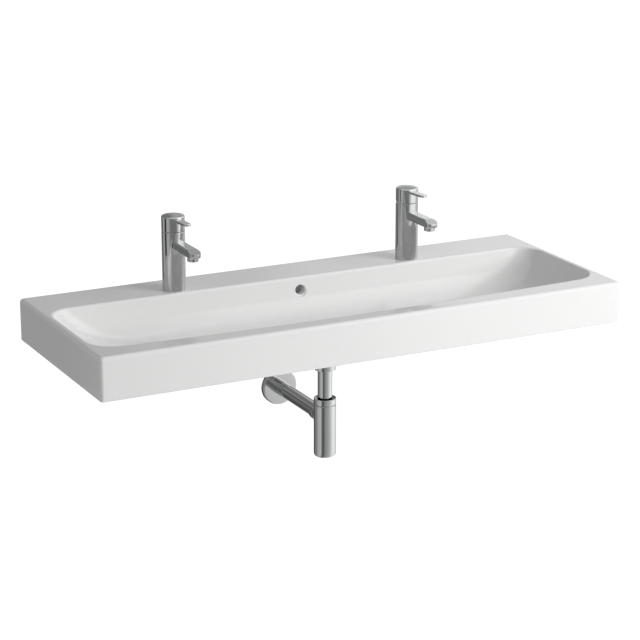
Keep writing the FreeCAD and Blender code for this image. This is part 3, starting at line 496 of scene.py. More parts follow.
def finished(piece, body, node, slot, crease):
    """Cleans a piece's mesh, shades it, ties it to its body and finish, and hides the node it stands in for.
    """
    bm = bmesh.new()
    bm.from_mesh(piece.data)
    bmesh.ops.remove_doubles(bm, verts=bm.verts, dist=WELDED_POINT)
    bmesh.ops.dissolve_degenerate(bm, edges=bm.edges, dist=WELDED_POINT)
    bm.to_mesh(piece.data)
    bm.free()
    for face in piece.data.polygons:
        face.use_smooth = True
        face.material_index = 0
    piece.data.set_sharp_from_angle(angle=math.radians(crease))
    piece.data.materials.clear()
    piece.data.materials.append(bpy.data.materials[slot])
    even = piece.modifiers.new("even_shading", "WEIGHTED_NORMAL")
    even.keep_sharp = True
    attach(piece, body)
    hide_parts(node)


# Finishes


def blank_finish(name):
    """Node tree and output of a material that has nothing else yet."""
    material = bpy.data.materials.get(name) or bpy.data.materials.new(name)
    material.use_nodes = True
    tree = material.node_tree
    tree.nodes.clear()
    return tree, tree.nodes.new("ShaderNodeOutputMaterial")


def reckoned(tree, operation, *values):
    """Result of a sum on sockets or numbers."""
    node = tree.nodes.new("ShaderNodeMath")
    node.operation = operation
    for socket, value in zip(node.inputs, values):
        if isinstance(value, bpy.types.NodeSocket):
            tree.links.new(value, socket)
        else:
            socket.default_value = value
    return node.outputs[0]


def noise(tree, scale, detail, stretch=(1, 1, 1)):
    """Noise on Object coordinates."""
    place = tree.nodes.new("ShaderNodeTexCoord")
    turn = tree.nodes.new("ShaderNodeMapping")
    turn.inputs["Scale"].default_value = stretch
    pattern = tree.nodes.new("ShaderNodeTexNoise")
    pattern.inputs["Scale"].default_value = scale
    pattern.inputs["Detail"].default_value = detail
    tree.links.new(place.outputs["Object"], turn.inputs["Vector"])
    tree.links.new(turn.outputs["Vector"], pattern.inputs["Vector"])
    return pattern.outputs["Fac"]


def between(tree, factor, low, high):
    """Range from low to high that follows a noise."""
    ranged = tree.nodes.new("ShaderNodeMapRange")
    for name, value in zip(("From Min", "From Max", "To Min", "To Max"), (NOISE_LOW, NOISE_HIGH, low, high)):
        ranged.inputs[name].default_value = value
    tree.links.new(factor, ranged.inputs["Value"])
    return ranged.outputs["Result"]


def toned(tree, factor, colour, wander):
    """Colour that wanders with a noise a little to both sides of the one given."""
    ramp = tree.nodes.new("ShaderNodeValToRGB")
    ends = zip(ramp.color_ramp.elements, (NOISE_LOW, NOISE_HIGH), (1 - wander, 1 + wander))
    for element, position, scale in ends:
        element.position = position
        element.color = [min(c * scale, 1) for c in colour] + [1]
    tree.links.new(factor, ramp.inputs["Fac"])
    return ramp.outputs["Color"]


def bumped(tree, shader, height, strength):
    """Small relief on the surface."""
    relief = tree.nodes.new("ShaderNodeBump")
    relief.inputs["Strength"].default_value = strength
    relief.inputs["Distance"].default_value = RELIEF_HEIGHT
    tree.links.new(height, relief.inputs["Height"])
    tree.links.new(relief.outputs["Normal"], shader.inputs["Normal"])


def seen_straight(tree):
    """1 where the camera, gloss or clear material sees a surface, 0 for the light that it throws."""
    path = tree.nodes.new("ShaderNodeLightPath")
    seen = path.outputs["Is Camera Ray"]
    for name in ("Is Glossy Ray", "Is Transmission Ray"):
        seen = reckoned(tree, "MAXIMUM", seen, path.outputs[name])
    return seen


def about(value, spread):
    """Range to both sides of a value."""
    return value * (1 - spread), value * (1 + spread)


def make_finish(name, colour, wander, patches, dull, grain, relief, metallic=0, stretch=(1, 1, 1)):
    """One finish: a tone that wanders in patches, uneven gloss and a fine grain in relief."""
    tree, out = blank_finish(name)
    shader = tree.nodes.new("ShaderNodeBsdfPrincipled")
    tree.links.new(shader.outputs["BSDF"], out.inputs["Surface"])
    tone = noise(tree, patches, detail=4)
    fine = noise(tree, grain, detail=3, stretch=stretch)
    gloss = noise(tree, GLOSS_FINER * patches, detail=5)
    tree.links.new(toned(tree, tone, colour, wander), shader.inputs["Base Color"])
    tree.links.new(between(tree, gloss, *dull), shader.inputs["Roughness"])
    shader.inputs["Metallic"].default_value = metallic
    bumped(tree, shader, fine, relief)
    return shader


# Basin's skin


def loop_of(bm, half_length, back, front, back_corner, front_corner, bow, level):
    """Closed loop at one level: a rectangle with round corners and a bowed front. Returns its edges."""
    before = set(bm.edges)
    corners = joined(bm, [(-half_length, back, level), (half_length, back, level),
                          (half_length, front, level), (-half_length, front, level)])
    round_off(bm, corners[:2], back_corner, "VERTICES", steps=10)
    round_off(bm, corners[2:], front_corner, "VERTICES", steps=10)
    runs = [e for e in bm.edges if e not in before]
    for axis, cuts in STRAIGHT_CUTS:
        straight = [e for e in runs if abs(e.verts[0].co[axis] - e.verts[1].co[axis]) < STRAIGHT_RUN]
        bmesh.ops.subdivide_edges(bm, edges=straight, cuts=cuts)
    edges = [e for e in bm.edges if e not in before]
    middle = (back + front) / 2
    for vert in {v for e in edges for v in e.verts}:
        if vert.co.y < middle:
            forward = (middle - vert.co.y) / (middle - front)
            vert.co.y -= bow * (1 - (vert.co.x / half_length) ** 2) * forward
    return edges


def circle_of(bm, like, radius, level, y):
    """Closed circle at one level with as many edges as another loop."""
    made = bmesh.ops.create_circle(bm, segments=len(like), radius=radius,
                                   matrix=Matrix.Translation((0, y, level)))
    return list({e for v in made["verts"] for e in v.link_edges})


def drawn_on(bm, circle, scale, rise, y):
    """Extrudes a circle of edges, then scales it about its middle and lifts it. Returns the new circle."""
    made = bmesh.ops.extrude_edge_only(bm, edges=circle)["geom"]
    verts = {v for v in made if isinstance(v, bmesh.types.BMVert)}
    bmesh.ops.scale(bm, verts=list(verts), vec=(scale, scale, 1), space=Matrix.Translation((0, -y, 0)))
    bmesh.ops.translate(bm, verts=list(verts), vec=(0, 0, rise))
    return [e for e in made if isinstance(e, bmesh.types.BMEdge) and verts.issuperset(e.verts)]


def eased(knots, counts):
    """Points on a smooth curve through rows of numbers, with so many steps between each pair."""
    marks = [0.0]
    for a, b in zip(knots, knots[1:]):
        marks.append(marks[-1] + math.hypot(a[0] - b[0], a[-1] - b[-1]))
    slopes = []
    for k in range(len(knots)):
        low, high = max(k - 1, 0), min(k + 1, len(knots) - 1)
        slopes.append([(h - g) / (marks[high] - marks[low]) for g, h in zip(knots[low], knots[high])])
    rows = []
    for k, steps in enumerate(counts):
        run = marks[k + 1] - marks[k]
        columns = list(zip(knots[k], slopes[k], knots[k + 1], slopes[k + 1]))
        for step in range(steps):
            x = step / steps
            weights = (2 * x ** 3 - 3 * x ** 2 + 1, (x ** 3 - 2 * x ** 2 + x) * run,
                       3 * x ** 2 - 2 * x ** 3, (x ** 3 - x ** 2) * run)
            rows.append([sum(w * value for w, value in zip(weights, column)) for column in columns])
    return rows + [list(knots[-1])]


def bowl_rows(s, grow, top, counts):
    """Outlines down the bowl: half length, back, front, corner, bow and level, grown for the underside."""
    half = s.width / 2 - s.side_rim + grow
    back = grow - s.rear_deck
    front = s.front_rim - s.depth - grow
    first_share = -top / (s.wall_depth + grow) / WALL_SHARES[0][0] if grow else 0
    shares = [tuple(first_share * x for x in WALL_SHARES[0])] + list(WALL_SHARES)
    knots = []
    for down, end, side, corner in shares:
        level = min(top, -(s.wall_depth + grow) * down)
        knots.append((half - s.end_draw * end, back - s.side_draw * side, front + s.side_draw * side,
                      s.rim_corner + grow + (s.foot_corner - s.rim_corner) * corner, s.front_bow, level))
    pan = s.pan_half_depth + grow
    knots.append((s.pan_half_length + grow, pan - s.drain_y, -pan - s.drain_y, s.pan_corner + grow, s.pan_bow,
                  -s.bowl_depth - grow))
    return eased(knots, counts)


def basin_surface(s):
    """The basin's skin as one closed run of loops: apron, deck, bowl, drain and underside."""
    bm = bmesh.new()
    loops = []
    half = s.width / 2

    def outer(inset, back_inset, level):
        loops.append(loop_of(bm, half - inset, -back_inset, inset - s.depth, s.back_round, s.upright_round, 0,
                             level))

    def inner(half_length, back, front, corner, bow, level):
        loops.append(loop_of(bm, half_length, back, front, corner, corner, bow, level))

    outer(s.apron_wall, s.back_wall, -s.apron)
    for sine, cosine in quarter(FOOT_STEPS):
        outer(s.foot_round * (1 - sine), s.back_round * (1 - sine), s.foot_round * (1 - cosine) - s.apron)
    for sine, cosine in quarter(EDGE_STEPS):
        outer(s.top_round * (1 - cosine), s.back_round * (1 - cosine), s.top_round * (sine - 1))
    inside = bowl_rows(s, 0, -s.rim_round, INSIDE_STEPS)
    half_length, back, front, corner, bow, _ = inside[0]
    for sine, cosine in quarter(EDGE_STEPS)[:-1]:
        out = s.rim_round * (1 - sine)
        inner(half_length + out, back + out, front - out, corner + out, bow, s.rim_round * (cosine - 1))
    for row in inside:
        inner(*row)
    floor = -s.bowl_depth
    seat = floor - s.recess_depth
    foot = -s.boss_drop
    turned = [(s.drain_recess + out * s.recess_round, floor - down * s.recess_round)
              for out, down in RECESS_EDGE]
    turned += [
        (s.drain_recess, seat), (s.drain_hole, seat), (s.drain_hole, foot), (s.boss - s.boss_round, foot),
        (s.boss - BOSS_EDGE * s.boss_round, foot + BOSS_EDGE * s.boss_round), (s.boss, foot + s.boss_round),
        (s.boss, floor - s.shell - s.boss_round),
    ]
    circle = circle_of(bm, loops[0], *turned[0], -s.drain_y)
    upper = loops + [circle]
    for before, after in zip(turned, turned[1:]):
        circle = drawn_on(bm, circle, after[0] / before[0], after[1] - before[1], -s.drain_y)
    loops = [circle]
    widest = half - s.apron_wall - s.shell_gap
    below_deck = -s.deck_wall - s.top_round / 4
    for row in reversed(bowl_rows(s, s.shell, below_deck, UNDER_STEPS)):
        inner(min(row[0], widest), *row[1:])
    outer(s.apron_wall, s.back_wall, -s.deck_wall)
    for chain in (upper, loops + upper[:1]):
        for a, b in zip(chain, chain[1:]):
            bmesh.ops.bridge_loops(bm, edges=a + b)
    moved(bm, z=deck)
    outwards(bm)
    return bm


# Operators


class WASHBASIN_OT_finishes(bpy.types.Operator):
    """Make every finish and dress the solids that stay in view"""

    bl_idname = "washbasin.finishes"
    bl_label = "Finishes"

    def execute(self, context):
        f = context.scene.washbasin_finishes
        glaze = make_finish("glaze", f.glaze, wander=0.006, patches=2.2, dull=about(f.glaze_roughness, 0.3),
                            grain=26, relief=0.03)
        glaze.inputs["IOR"].default_value = f.glaze_bend
        make_finish("chrome", f.chrome, wander=0.02, patches=18, dull=about(f.chrome_roughness, 0.4),
                    grain=900, relief=0.01, metallic=1)
        make_finish("seal_rubber", f.rubber, wander=0.25, patches=240, dull=(0.55, 0.75), grain=1600,
                    relief=0.3)
        make_finish("brass", f.brass, wander=0.08, patches=120, dull=(0.22, 0.38), grain=2400, relief=0.2,
                    metallic=1, stretch=(1, 1, 8))
        make_finish("zinc_steel", f.zinc, wander=0.08, patches=160, dull=(0.28, 0.45), grain=1400,
                    relief=0.15, metallic=1)
        make_finish("spring_steel", f.spring, wander=0.06, patches=400, dull=(0.2, 0.32), grain=3000,
                    relief=0.1, metallic=1)
        make_finish("pale_plastic", f.plastic, wander=0.03, patches=90, dull=(0.38, 0.52), grain=1800,
                    relief=0.12)
        make_finish("disc_ceramic", f.disc, wander=0.03, patches=140, dull=(0.12, 0.22), grain=2200,
                    relief=0.05)
        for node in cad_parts.values():
            old = node.data.materials[0].name.split(".")[0]
            node.material_slots[0].material = bpy.data.materials[old]
        return {"FINISHED"}


class WASHBASIN_OT_basin(bpy.types.Operator):
    """Make the glazed basin"""

    bl_idname = "washbasin.basin"
    bl_label = "Basin"

    def housing(self, s):
        """Solid around the overflow duct, from under the deck to the boss"""
        outside = s.shell + s.duct_gap + s.duct_wall - s.rear_deck
        in_shell = s.shell / 2
        in_deck = deck - s.deck_wall / 2
        foot = deck - s.boss_drop
        under_floor = deck - s.bowl_depth - in_shell
        wall = [(in_shell - s.rear_deck - s.side_draw * side, deck - (s.wall_depth + in_shell) * down)
                for down, _, side, _ in reversed(WALL_SHARES)]
        return prism_x([
            (outside, in_deck), (outside, foot), (-s.drain_y, foot), (-s.drain_y, under_floor),
            (s.pan_half_depth - s.drain_y, under_floor), *wall, (in_shell - s.rear_deck, in_deck),
        ], s.duct_half + s.duct_wall)

    def overflow(self, s):
        """Space of the overflow: its mouth with a round lip, and the duct down to the drain"""
        front = s.shell - s.rear_deck
        back = front + s.duct_gap
        middle = deck - s.overflow_drop
        lip = s.overflow_lip
        top = middle + s.overflow_radius + lip / 2
        low = deck - s.boss_drop + s.duct_wall
        duct = prism_x([(back, top), (back, low), (-s.drain_y, low), (-s.drain_y, low + s.duct_gap),
                        (front, low + s.duct_gap), (front, top)], s.duct_half)
        face = -s.rear_deck - s.overflow_draw * s.side_draw
        clear = face - LIP_CLEAR * lip
        in_duct = back - s.duct_gap / 2
        rounded = [(s.overflow_radius + lip * (1 - sine), face + lip * (1 - cosine))
                   for sine, cosine in quarter(LIP_STEPS, LIP_START)]
        mouth = lathe([(0, clear), (s.overflow_radius + LIP_FLARE * lip, clear), *rounded,
                       (s.overflow_radius, in_duct), (0, in_duct)], HOLE_FACETS)
        way = combine(as_object("overflow_way", duct), moved(mouth, z=middle, lying=True), "UNION").data
        space = bmesh.new()
        space.from_mesh(way)
        bpy.data.meshes.remove(way)
        return space

    def execute(self, context):
        s = context.scene.washbasin_basin
        piece = as_object("basin_glazed", basin_surface(s))
        combine(piece, self.housing(s), "UNION")
        drain = rod(s.drain_hole, deck - s.boss_drop - s.shell, deck - s.bowl_depth - s.recess_depth / 2)
        combine(piece, moved(drain, y=-s.drain_y), "DIFFERENCE")
        combine(piece, self.overflow(s), "DIFFERENCE")
        for sign in SIDES.values():
            hole = rod(s.tap_hole, -s.deck_wall, s.deck_wall, HOLE_FACETS)
            combine(piece, moved(hole, sign * s.tap_x, -s.tap_y, deck - s.deck_wall / 2), "DIFFERENCE")
            bolt = rod(s.bolt_hole, -s.back_wall, s.back_wall, BOLT_FACETS)
            combine(piece, moved(bolt, sign * s.bolt_x, -s.back_wall / 2, lying=True), "DIFFERENCE")
        finished(piece, "fixed", "basin", "glaze", crease=38)
        return {"FINISHED"}


class WASHBASIN_OT_waste(bpy.types.Operator):
    """Make the waste's domed plug"""

    bl_idname = "washbasin.waste"
    bl_label = "Waste"

    def execute(self, context):
        s, t = context.scene.washbasin_basin, context.scene.washbasin_trap
        low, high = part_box("waste_plug")
        radius = (high.x - low.x) / 2
        corners = [(0, low.z), (radius - t.edge, low.z), (radius, low.z + t.edge),
                   (radius, high.z - t.plug_crown - t.edge)]
        corners += domed(radius, t.plug_crown, high.z, radius - t.edge / 2, steps=10)
        piece = as_object("plug_domed", moved(lathe(corners), y=-s.drain_y))
        finished(piece, "plug", "waste_plug", "chrome", crease=35)
        return {"FINISHED"}


class WASHBASIN_OT_trap(bpy.types.Operator):
    """Make the bottle trap, its tubes and the rosette"""

    bl_idname = "washbasin.trap"
    bl_label = "Trap"

    def upright(self, t):
        """Corners of the standing pieces: radius, drop from the deck and, where there is one, round"""
        edge = t.edge
        bore = t.body - t.body_wall
        thread = bore - t.thread_play
        rim = t.body - t.ring_rim
        skirt = t.body - t.ring_wall
        cup = bore - t.cup_wall
        tube_bore = t.tube - t.tube_wall
        nut_hole = t.tube + t.nut_play
        tube_hole = t.tube + t.tube_gap
        body_floor = t.skirt_low + t.body_floor
        return {
            "inlet_nut": [
                (t.nut, t.nut_low, 2 * edge), (t.nut, t.nut_high, 2 * edge),
                (t.nut_bore, t.nut_high, edge / 2), (t.nut_bore, t.nut_ledge), (nut_hole, t.nut_ledge),
                (nut_hole, t.nut_low, edge / 2)],
            "inlet_tube": [
                (t.tube, t.tube_low), (t.tube, t.tube_high), (tube_bore, t.tube_high),
                (tube_bore, t.tube_low)],
            "trap_top_ring": [
                (t.body, t.ring_low, t.groove), (t.body, t.ring_high, edge), (rim, t.ring_high, edge),
                (rim, t.ring_floor), (tube_hole, t.ring_floor), (tube_hole, t.ring_ceiling),
                (skirt, t.ring_ceiling), (skirt, t.skirt_low), (thread, t.skirt_low), (thread, t.ring_low)],
            "trap_cup": [
                (0, t.cup_low), (t.body, t.cup_low, t.cup_round), (t.body, t.cup_line, edge / 2),
                (thread, t.cup_line), (thread, t.cup_high), (cup, t.cup_high), (cup, t.cup_floor),
                (0, t.cup_floor)],
            "trap_body": [
                (t.body, t.cup_line, edge / 2), (t.body, t.body_high, t.groove), (bore, t.body_high),
                (bore, t.skirt_low), (tube_hole, t.skirt_low), (tube_hole, body_floor), (bore, body_floor),
                (bore, t.cup_line)],
        }

    def lying(self, t, axis):
        """Corners of the lying pieces: radius, place from the wall and, where there is one, round"""
        edge = t.edge
        tube_bore = t.tube - t.tube_wall
        nut_hole = t.tube + t.nut_play
        groove = t.tube - t.mark_depth
        start, ledge, end = (axis + place for place in (t.ring_nut_start, t.ring_nut_ledge, t.ring_nut_end))
        inside = t.rosette - t.rosette_wall
        ceiling = t.rosette_wall - t.rosette_thick
        hole = t.tube + t.rosette_play
        collar = t.tube + t.collar_wall
        return {
            "outlet_nut": [
                (t.ring_nut, start, edge), (t.ring_nut, end, edge), (nut_hole, end, edge / 2),
                (nut_hole, ledge), (t.ring_nut_bore, ledge), (t.ring_nut_bore, start, edge / 2)],
            "outlet_pipe": [
                (t.tube, -t.pipe_start), (t.tube, 0), (groove, 0), (groove, t.mark_width),
                (t.tube, t.mark_width), (t.tube, t.pipe_end, t.pipe_round),
                (tube_bore, t.pipe_end, t.pipe_round), (tube_bore, -t.pipe_start)],
            "rosette": [
                (t.rosette, 0), (inside, 0), (inside, ceiling), (hole, ceiling), (hole, -t.collar_reach),
                (collar, -t.collar_reach, t.collar_round), (collar, -t.rosette_thick),
                (t.rosette, -t.rosette_thick, t.rosette_round)],
        }

    def execute(self, context):
        s, t = context.scene.washbasin_basin, context.scene.washbasin_trap
        axis = -s.drain_y
        outlet = deck - t.outlet_drop
        pieces = {}
        for node, corners in self.upright(t).items():
            shape = lathe([(radius, -drop, *edge) for radius, drop, *edge in corners])
            pieces[node] = as_object(node + "_chrome", moved(shape, y=axis, z=deck))
        bore = t.tube + t.stub_play
        stub = lathe([(t.stub, t.stub_start), (t.stub, t.stub_end), (bore, t.stub_end), (bore, t.stub_start)])
        combine(pieces["trap_body"], moved(stub, y=axis, z=outlet, lying=True), "UNION")
        for node, corners in self.lying(t, axis).items():
            pieces[node] = as_object(node + "_chrome", moved(lathe(corners), z=outlet, lying=True))
        for node, piece in pieces.items():
            finished(piece, "fixed", node, "chrome", crease=35)
        return {"FINISHED"}


class WASHBASIN_OT_mixers(bpy.types.Operator):
    """Make the two mixers: columns with spouts, aerators and levers"""

    bl_idname = "washbasin.mixers"
    bl_label = "Mixers"

    def spout(self, m):
        """Bar with a round-cornered tip towards -Y, sloped above and drawn in below"""
        bm = bmesh.new()
        half = m.spout_width / 2
        outline = joined(bm, [(-half, 0, m.spout_low), (half, 0, m.spout_low),
                              (half, -m.spout_reach, m.spout_low), (-half, -m.spout_reach, m.spout_low)])
        round_off(bm, outline[2:], m.spout_corner, "VERTICES", steps=12)
        pushed_out(bm, (0, 0, m.spout_high - m.spout_low))
        rims = [e for e in bm.edges if e.verts[0].co.z == e.verts[1].co.z
                and any(v.co.y < 0 for v in e.verts)]
        round_off(bm, rims, m.spout_round, "EDGES", steps=7)
        tip = m.spout_high - m.slope_drop - m.tip_face
        cut_off(bm, (0, m.slope_length - m.spout_reach, m.spout_high), (0, -m.slope_drop, m.slope_length))
        cut_off(bm, (0, m.chin_length - m.spout_reach, m.spout_low), (0, m.spout_low - tip, -m.chin_length))
        edges = [e for e in bm.edges if e.calc_face_angle(0) > SPOUT_EDGE
                 and all(v.co.y < -m.spout_reach / 2 for v in e.verts)]
        round_off(bm, edges, m.tip_round, "EDGES", steps=2)
        bmesh.ops.remove_doubles(bm, verts=bm.verts, dist=SAME_POINT)
        outwards(bm)
        return bm

    def tongue(self, m):
        """Thin tapered plate towards -Y that rises to its tip"""
        bm = bmesh.new()
        root, tip = m.tongue_root_width / 2, m.tongue_tip_width / 2
        joined(bm, [(-root, -m.tongue_root, 0), (root, -m.tongue_root, 0), (tip, -m.tongue_reach, 0),
                    (-tip, -m.tongue_reach, 0)])
        pushed_out(bm, (0, 0, m.tongue_thick))
        corners = [e for e in bm.edges if all(v.co.y < -m.tongue_reach + m.tongue_corner for v in e.verts)
                   and e.verts[0].co.x == e.verts[1].co.x]
        round_off(bm, corners, m.tongue_corner, "EDGES", steps=10)
        edges = [e for e in bm.edges if e.calc_face_angle(0) > TONGUE_EDGE
                 and any(v.co.y < -m.tongue_root - m.tongue_round for v in e.verts)]
        round_off(bm, edges, m.tongue_round, "EDGES", steps=4)
        bmesh.ops.rotate(bm, verts=bm.verts, cent=(0, -m.tongue_root, 0),
                         matrix=Matrix.Rotation(-m.tongue_rise, 3, "X"))
        outwards(bm)
        return moved(bm, z=m.tongue_level)

    def cap(self, m):
        """Hollow cap with a domed top"""
        inner = m.column - m.cap_wall
        corners = [(0, m.cap_ceiling), (inner, m.cap_ceiling), (inner, m.cap_low),
                   (m.column, m.cap_low, m.edge), (m.column, m.cap_high - m.cap_crown, m.cap_edge)]
        corners += domed(m.column, m.cap_crown, m.cap_high, m.column, steps=12)[1:]
        return lathe(corners, MIXER_FACETS)

    def body(self, m, name):
        """Column with the cartridge's seat, the spout and the aerator's socket"""
        seat = m.height - m.seat_depth
        column = as_object(name, lathe([(0, 0), (m.column, 0, m.edge / 2), (m.column, m.height, m.edge),
                                        (m.seat, m.height), (m.seat, seat), (0, seat)], MIXER_FACETS))
        combine(column, self.spout(m), "UNION")
        socket = rod(m.aerator + m.aerator_play, m.aerator_low, m.aerator_high, AERATOR_FACETS)
        return combine(column, moved(socket, y=-m.aerator_reach), "DIFFERENCE")

    def aerator(self, m, name):
        """Ring under the spout's tip with a lip at its foot"""
        bore = m.aerator - m.aerator_wall
        mouth = bore - m.aerator_lip
        lip = m.aerator_low + m.aerator_wall
        ring = lathe([(m.aerator, m.aerator_low, m.aerator_round), (m.aerator, m.aerator_high),
                      (bore, m.aerator_high), (bore, lip), (mouth, lip),
                      (mouth, m.aerator_low, m.aerator_round / 2)], AERATOR_FACETS)
        return as_object(name, moved(ring, y=-m.aerator_reach))

    def lever(self, m, name):
        """Cap with its tongue, and a slanting foot behind the axis that lets it tilt"""
        lever = as_object(name, self.cap(m))
        combine(lever, self.tongue(m), "UNION")
        reach = 2 * m.column
        foot = m.cap_low - m.column
        back = m.relief_low + reach * math.tan(m.relief_slope)
        wedge = prism_x([(0, foot), (0, m.relief_low), (reach, back), (reach, foot)], reach)
        return combine(lever, wedge, "DIFFERENCE")

    def execute(self, context):
        s, m = context.scene.washbasin_basin, context.scene.washbasin_mixer
        for side, sign in SIDES.items():
            column = self.body(m, side + "_mixer_chrome")
            ring = self.aerator(m, side + "_aerator_chrome")
            lever = self.lever(m, side + "_lever_chrome")
            for piece in (column, ring, lever):
                piece.data.transform(Matrix.Translation((sign * s.tap_x, -s.tap_y, deck)))
            finished(column, "fixed", side + "_mixer_body", "chrome", crease=30)
            finished(ring, "fixed", side + "_aerator_housing", "chrome", crease=35)
            finished(lever, side + "_handle", side + "_lever", "chrome", crease=30)
        return {"FINISHED"}


class WASHBASIN_OT_stage(bpy.types.Operator):
    """Set up the floor, the lamp, the surroundings and the camera"""

    bl_idname = "washbasin.stage"
    bl_label = "Stage"

    def flats(self, st, name, low, high, floored):
        """Ring of pale and dark studio flats that only gloss mirrors, also laid over the floor if floored"""
        bm = bmesh.new()
        made = bmesh.ops.create_circle(bm, cap_ends=floored, cap_tris=True, segments=FLATS_FACETS,
                                       radius=st.flats_radius, matrix=Matrix.Translation((0, 0, low)))
        edges = list({e for v in made["verts"] for e in v.link_edges if len(e.link_faces) < 2})
        raised = [v for v in bmesh.ops.extrude_edge_only(bm, edges=edges)["geom"]
                  if isinstance(v, bmesh.types.BMVert)]
        bmesh.ops.translate(bm, verts=raised, vec=(0, 0, high - low))
        ring = as_object(name, bm)
        tree, out = blank_finish(name)
        place = tree.nodes.new("ShaderNodeTexCoord")
        parts = tree.nodes.new("ShaderNodeSeparateXYZ")
        tree.links.new(place.outputs["Object"], parts.inputs["Vector"])
        forward = reckoned(tree, "MULTIPLY", parts.outputs["Y"], -1)
        turn = reckoned(tree, "ARCTAN2", parts.outputs["X"], forward)
        ranged = tree.nodes.new("ShaderNodeMapRange")
        ranged.inputs["From Min"].default_value = -math.pi
        ranged.inputs["From Max"].default_value = math.pi
        tree.links.new(turn, ranged.inputs["Value"])
        ramp = tree.nodes.new("ShaderNodeValToRGB")
        spots = [(angle, pale) for start, end, pale in FLATS[name] for angle in (start, end)]
        stops = ramp.color_ramp.elements
        while len(stops) < len(spots):
            stops.new(0.5)
        for stop, (angle, pale) in zip(stops, spots):
            stop.position = (angle + 180) / 360
            stop.color = (pale, pale, pale, 1)
        tree.links.new(ranged.outputs["Result"], ramp.inputs["Fac"])
        glow = tree.nodes.new("ShaderNodeEmission")
        glow.inputs["Strength"].default_value = st.flats_level
        tree.links.new(ramp.outputs["Color"], glow.inputs["Color"])
        tree.links.new(glow.outputs["Emission"], out.inputs["Surface"])
        ring.data.materials.append(bpy.data.materials[name])
        ring.visible_camera = ring.visible_diffuse = ring.visible_transmission = ring.visible_shadow = False

    def floor(self, st):
        """Pale paper floor that shows white to the camera and keeps the shadow"""
        bm = bmesh.new()
        bmesh.ops.create_grid(bm, x_segments=8, y_segments=8, size=st.floor_size / 2,
                              matrix=Matrix.Translation((0, 0, st.floor_level)))
        floor = as_object("floor", bm)
        tree, out = blank_finish("paper")
        shader = tree.nodes.new("ShaderNodeBsdfPrincipled")
        grain = noise(tree, scale=40, detail=4)
        paper = toned(tree, grain, (st.paper, st.paper, st.paper), wander=0.01)
        tree.links.new(paper, shader.inputs["Base Color"])
        shader.inputs["Roughness"].default_value = st.paper_roughness
        shader.inputs["Specular IOR Level"].default_value = 0
        glow = tree.nodes.new("ShaderNodeEmission")
        level = reckoned(tree, "MULTIPLY", seen_straight(tree), st.floor_glow)
        tree.links.new(level, glow.inputs["Strength"])
        both = tree.nodes.new("ShaderNodeAddShader")
        tree.links.new(shader.outputs["BSDF"], both.inputs[0])
        tree.links.new(glow.outputs["Emission"], both.inputs[1])
        tree.links.new(both.outputs["Shader"], out.inputs["Surface"])
        floor.data.materials.append(bpy.data.materials["paper"])

    def surroundings(self, st):
        """Even light from all round, and white where the camera looks past the floor"""
        world = bpy.data.worlds.new("studio")
        bpy.context.scene.world = world
        world.use_nodes = True
        tree = world.node_tree
        tree.nodes.clear()
        out = tree.nodes.new("ShaderNodeOutputWorld")
        mixed = tree.nodes.new("ShaderNodeMixShader")
        tree.links.new(seen_straight(tree), mixed.inputs[0])
        for socket, strength in zip(mixed.inputs[1:], (st.ambient, 1)):
            light = tree.nodes.new("ShaderNodeBackground")
            light.inputs["Color"].default_value = (1, 1, 1, 1)
            light.inputs["Strength"].default_value = strength
            tree.links.new(light.outputs["Background"], socket)
        tree.links.new(mixed.outputs["Shader"], out.inputs["Surface"])

    def aimed(self, name, data, place, look):
        """New lamp or camera at a place, turned along a direction"""
        made = bpy.data.objects.new(name, data)
        made.location = place
        made.rotation_euler = look.to_track_quat("-Z", "Y").to_euler()
        bpy.context.scene.collection.objects.link(made)
        return made

    def execute(self, context):
        scene = context.scene
        st = scene.washbasin_stage
        levels = (st.floor_level + st.flats_gap, st.floor_level + st.floor_flats_high, deck,
                  deck + st.back_flats_high, deck + st.high_flats_high, deck + st.top_flats_high)
        for name, low, high in zip(FLATS, levels, levels[1:]):
            self.flats(st, name, low, high, floored=name == "floor_flats")
        self.floor(st)
        self.surroundings(st)
        softbox = bpy.data.lights.new("key_softbox", "AREA")
        softbox.size = st.lamp_size
        softbox.energy = st.lamp_power
        self.aimed("key_softbox", softbox, st.lamp_place, Vector(st.lamp_target) - Vector(st.lamp_place))
        camera = bpy.data.cameras.new("camera")
        camera.lens = st.lens
        camera.sensor_width = st.film
        level = math.cos(st.dip)
        look = Vector((math.sin(st.turn) * level, math.cos(st.turn) * level, -math.sin(st.dip)))
        scene.camera = self.aimed("camera", camera, st.eye, look)
        scene.view_settings.view_transform = "Standard"
        return {"FINISHED"}


class WASHBASIN_PT_pieces(bpy.types.Panel):
    """Lists the washbasin's pieces in the 3D view's sidebar"""

    bl_label = "Washbasin"
    bl_idname = "WASHBASIN_PT_pieces"
    bl_space_type = "VIEW_3D"
    bl_region_type = "UI"
    bl_category = "Washbasin"

    def draw(self, context):
        for operator in OPERATORS:
            self.layout.operator(operator.bl_idname)


SETTINGS = {
    "washbasin_basin": BasinSizes,
    "washbasin_mixer": MixerSizes,
    "washbasin_trap": TrapSizes,
    "washbasin_finishes": Finishes,
    "washbasin_stage": StageSettings,
}
OPERATORS = (
    WASHBASIN_OT_finishes,
    WASHBASIN_OT_basin,
    WASHBASIN_OT_waste,
    WASHBASIN_OT_trap,
    WASHBASIN_OT_mixers,
    WASHBASIN_OT_stage,
)


def register():
    """Registers the classes and gives every scene the settings."""
    for group in (*SETTINGS.values(), *OPERATORS, WASHBASIN_PT_pieces):
        bpy.utils.register_class(group)
    for name, group in SETTINGS.items():
        setattr(bpy.types.Scene, name, bpy.props.PointerProperty(type=group))


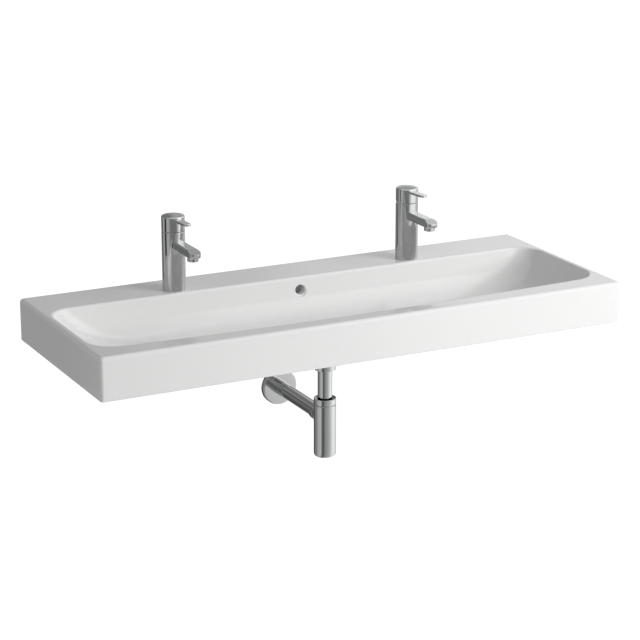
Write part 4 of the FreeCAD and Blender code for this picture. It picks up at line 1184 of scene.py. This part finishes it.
def unregister():
    """Takes the settings and the classes away again."""
    for name in SETTINGS:
        delattr(bpy.types.Scene, name)
    for group in (WASHBASIN_PT_pieces, *reversed(OPERATORS), *reversed(SETTINGS.values())):
        bpy.utils.unregister_class(group)


def main():
    """Registers the add-on and makes every piece in order."""
    register()
    bpy.ops.washbasin.finishes()
    bpy.ops.washbasin.basin()
    bpy.ops.washbasin.waste()
    bpy.ops.washbasin.trap()
    bpy.ops.washbasin.mixers()
    bpy.ops.washbasin.stage()


if __name__ == "__main__":
    main()
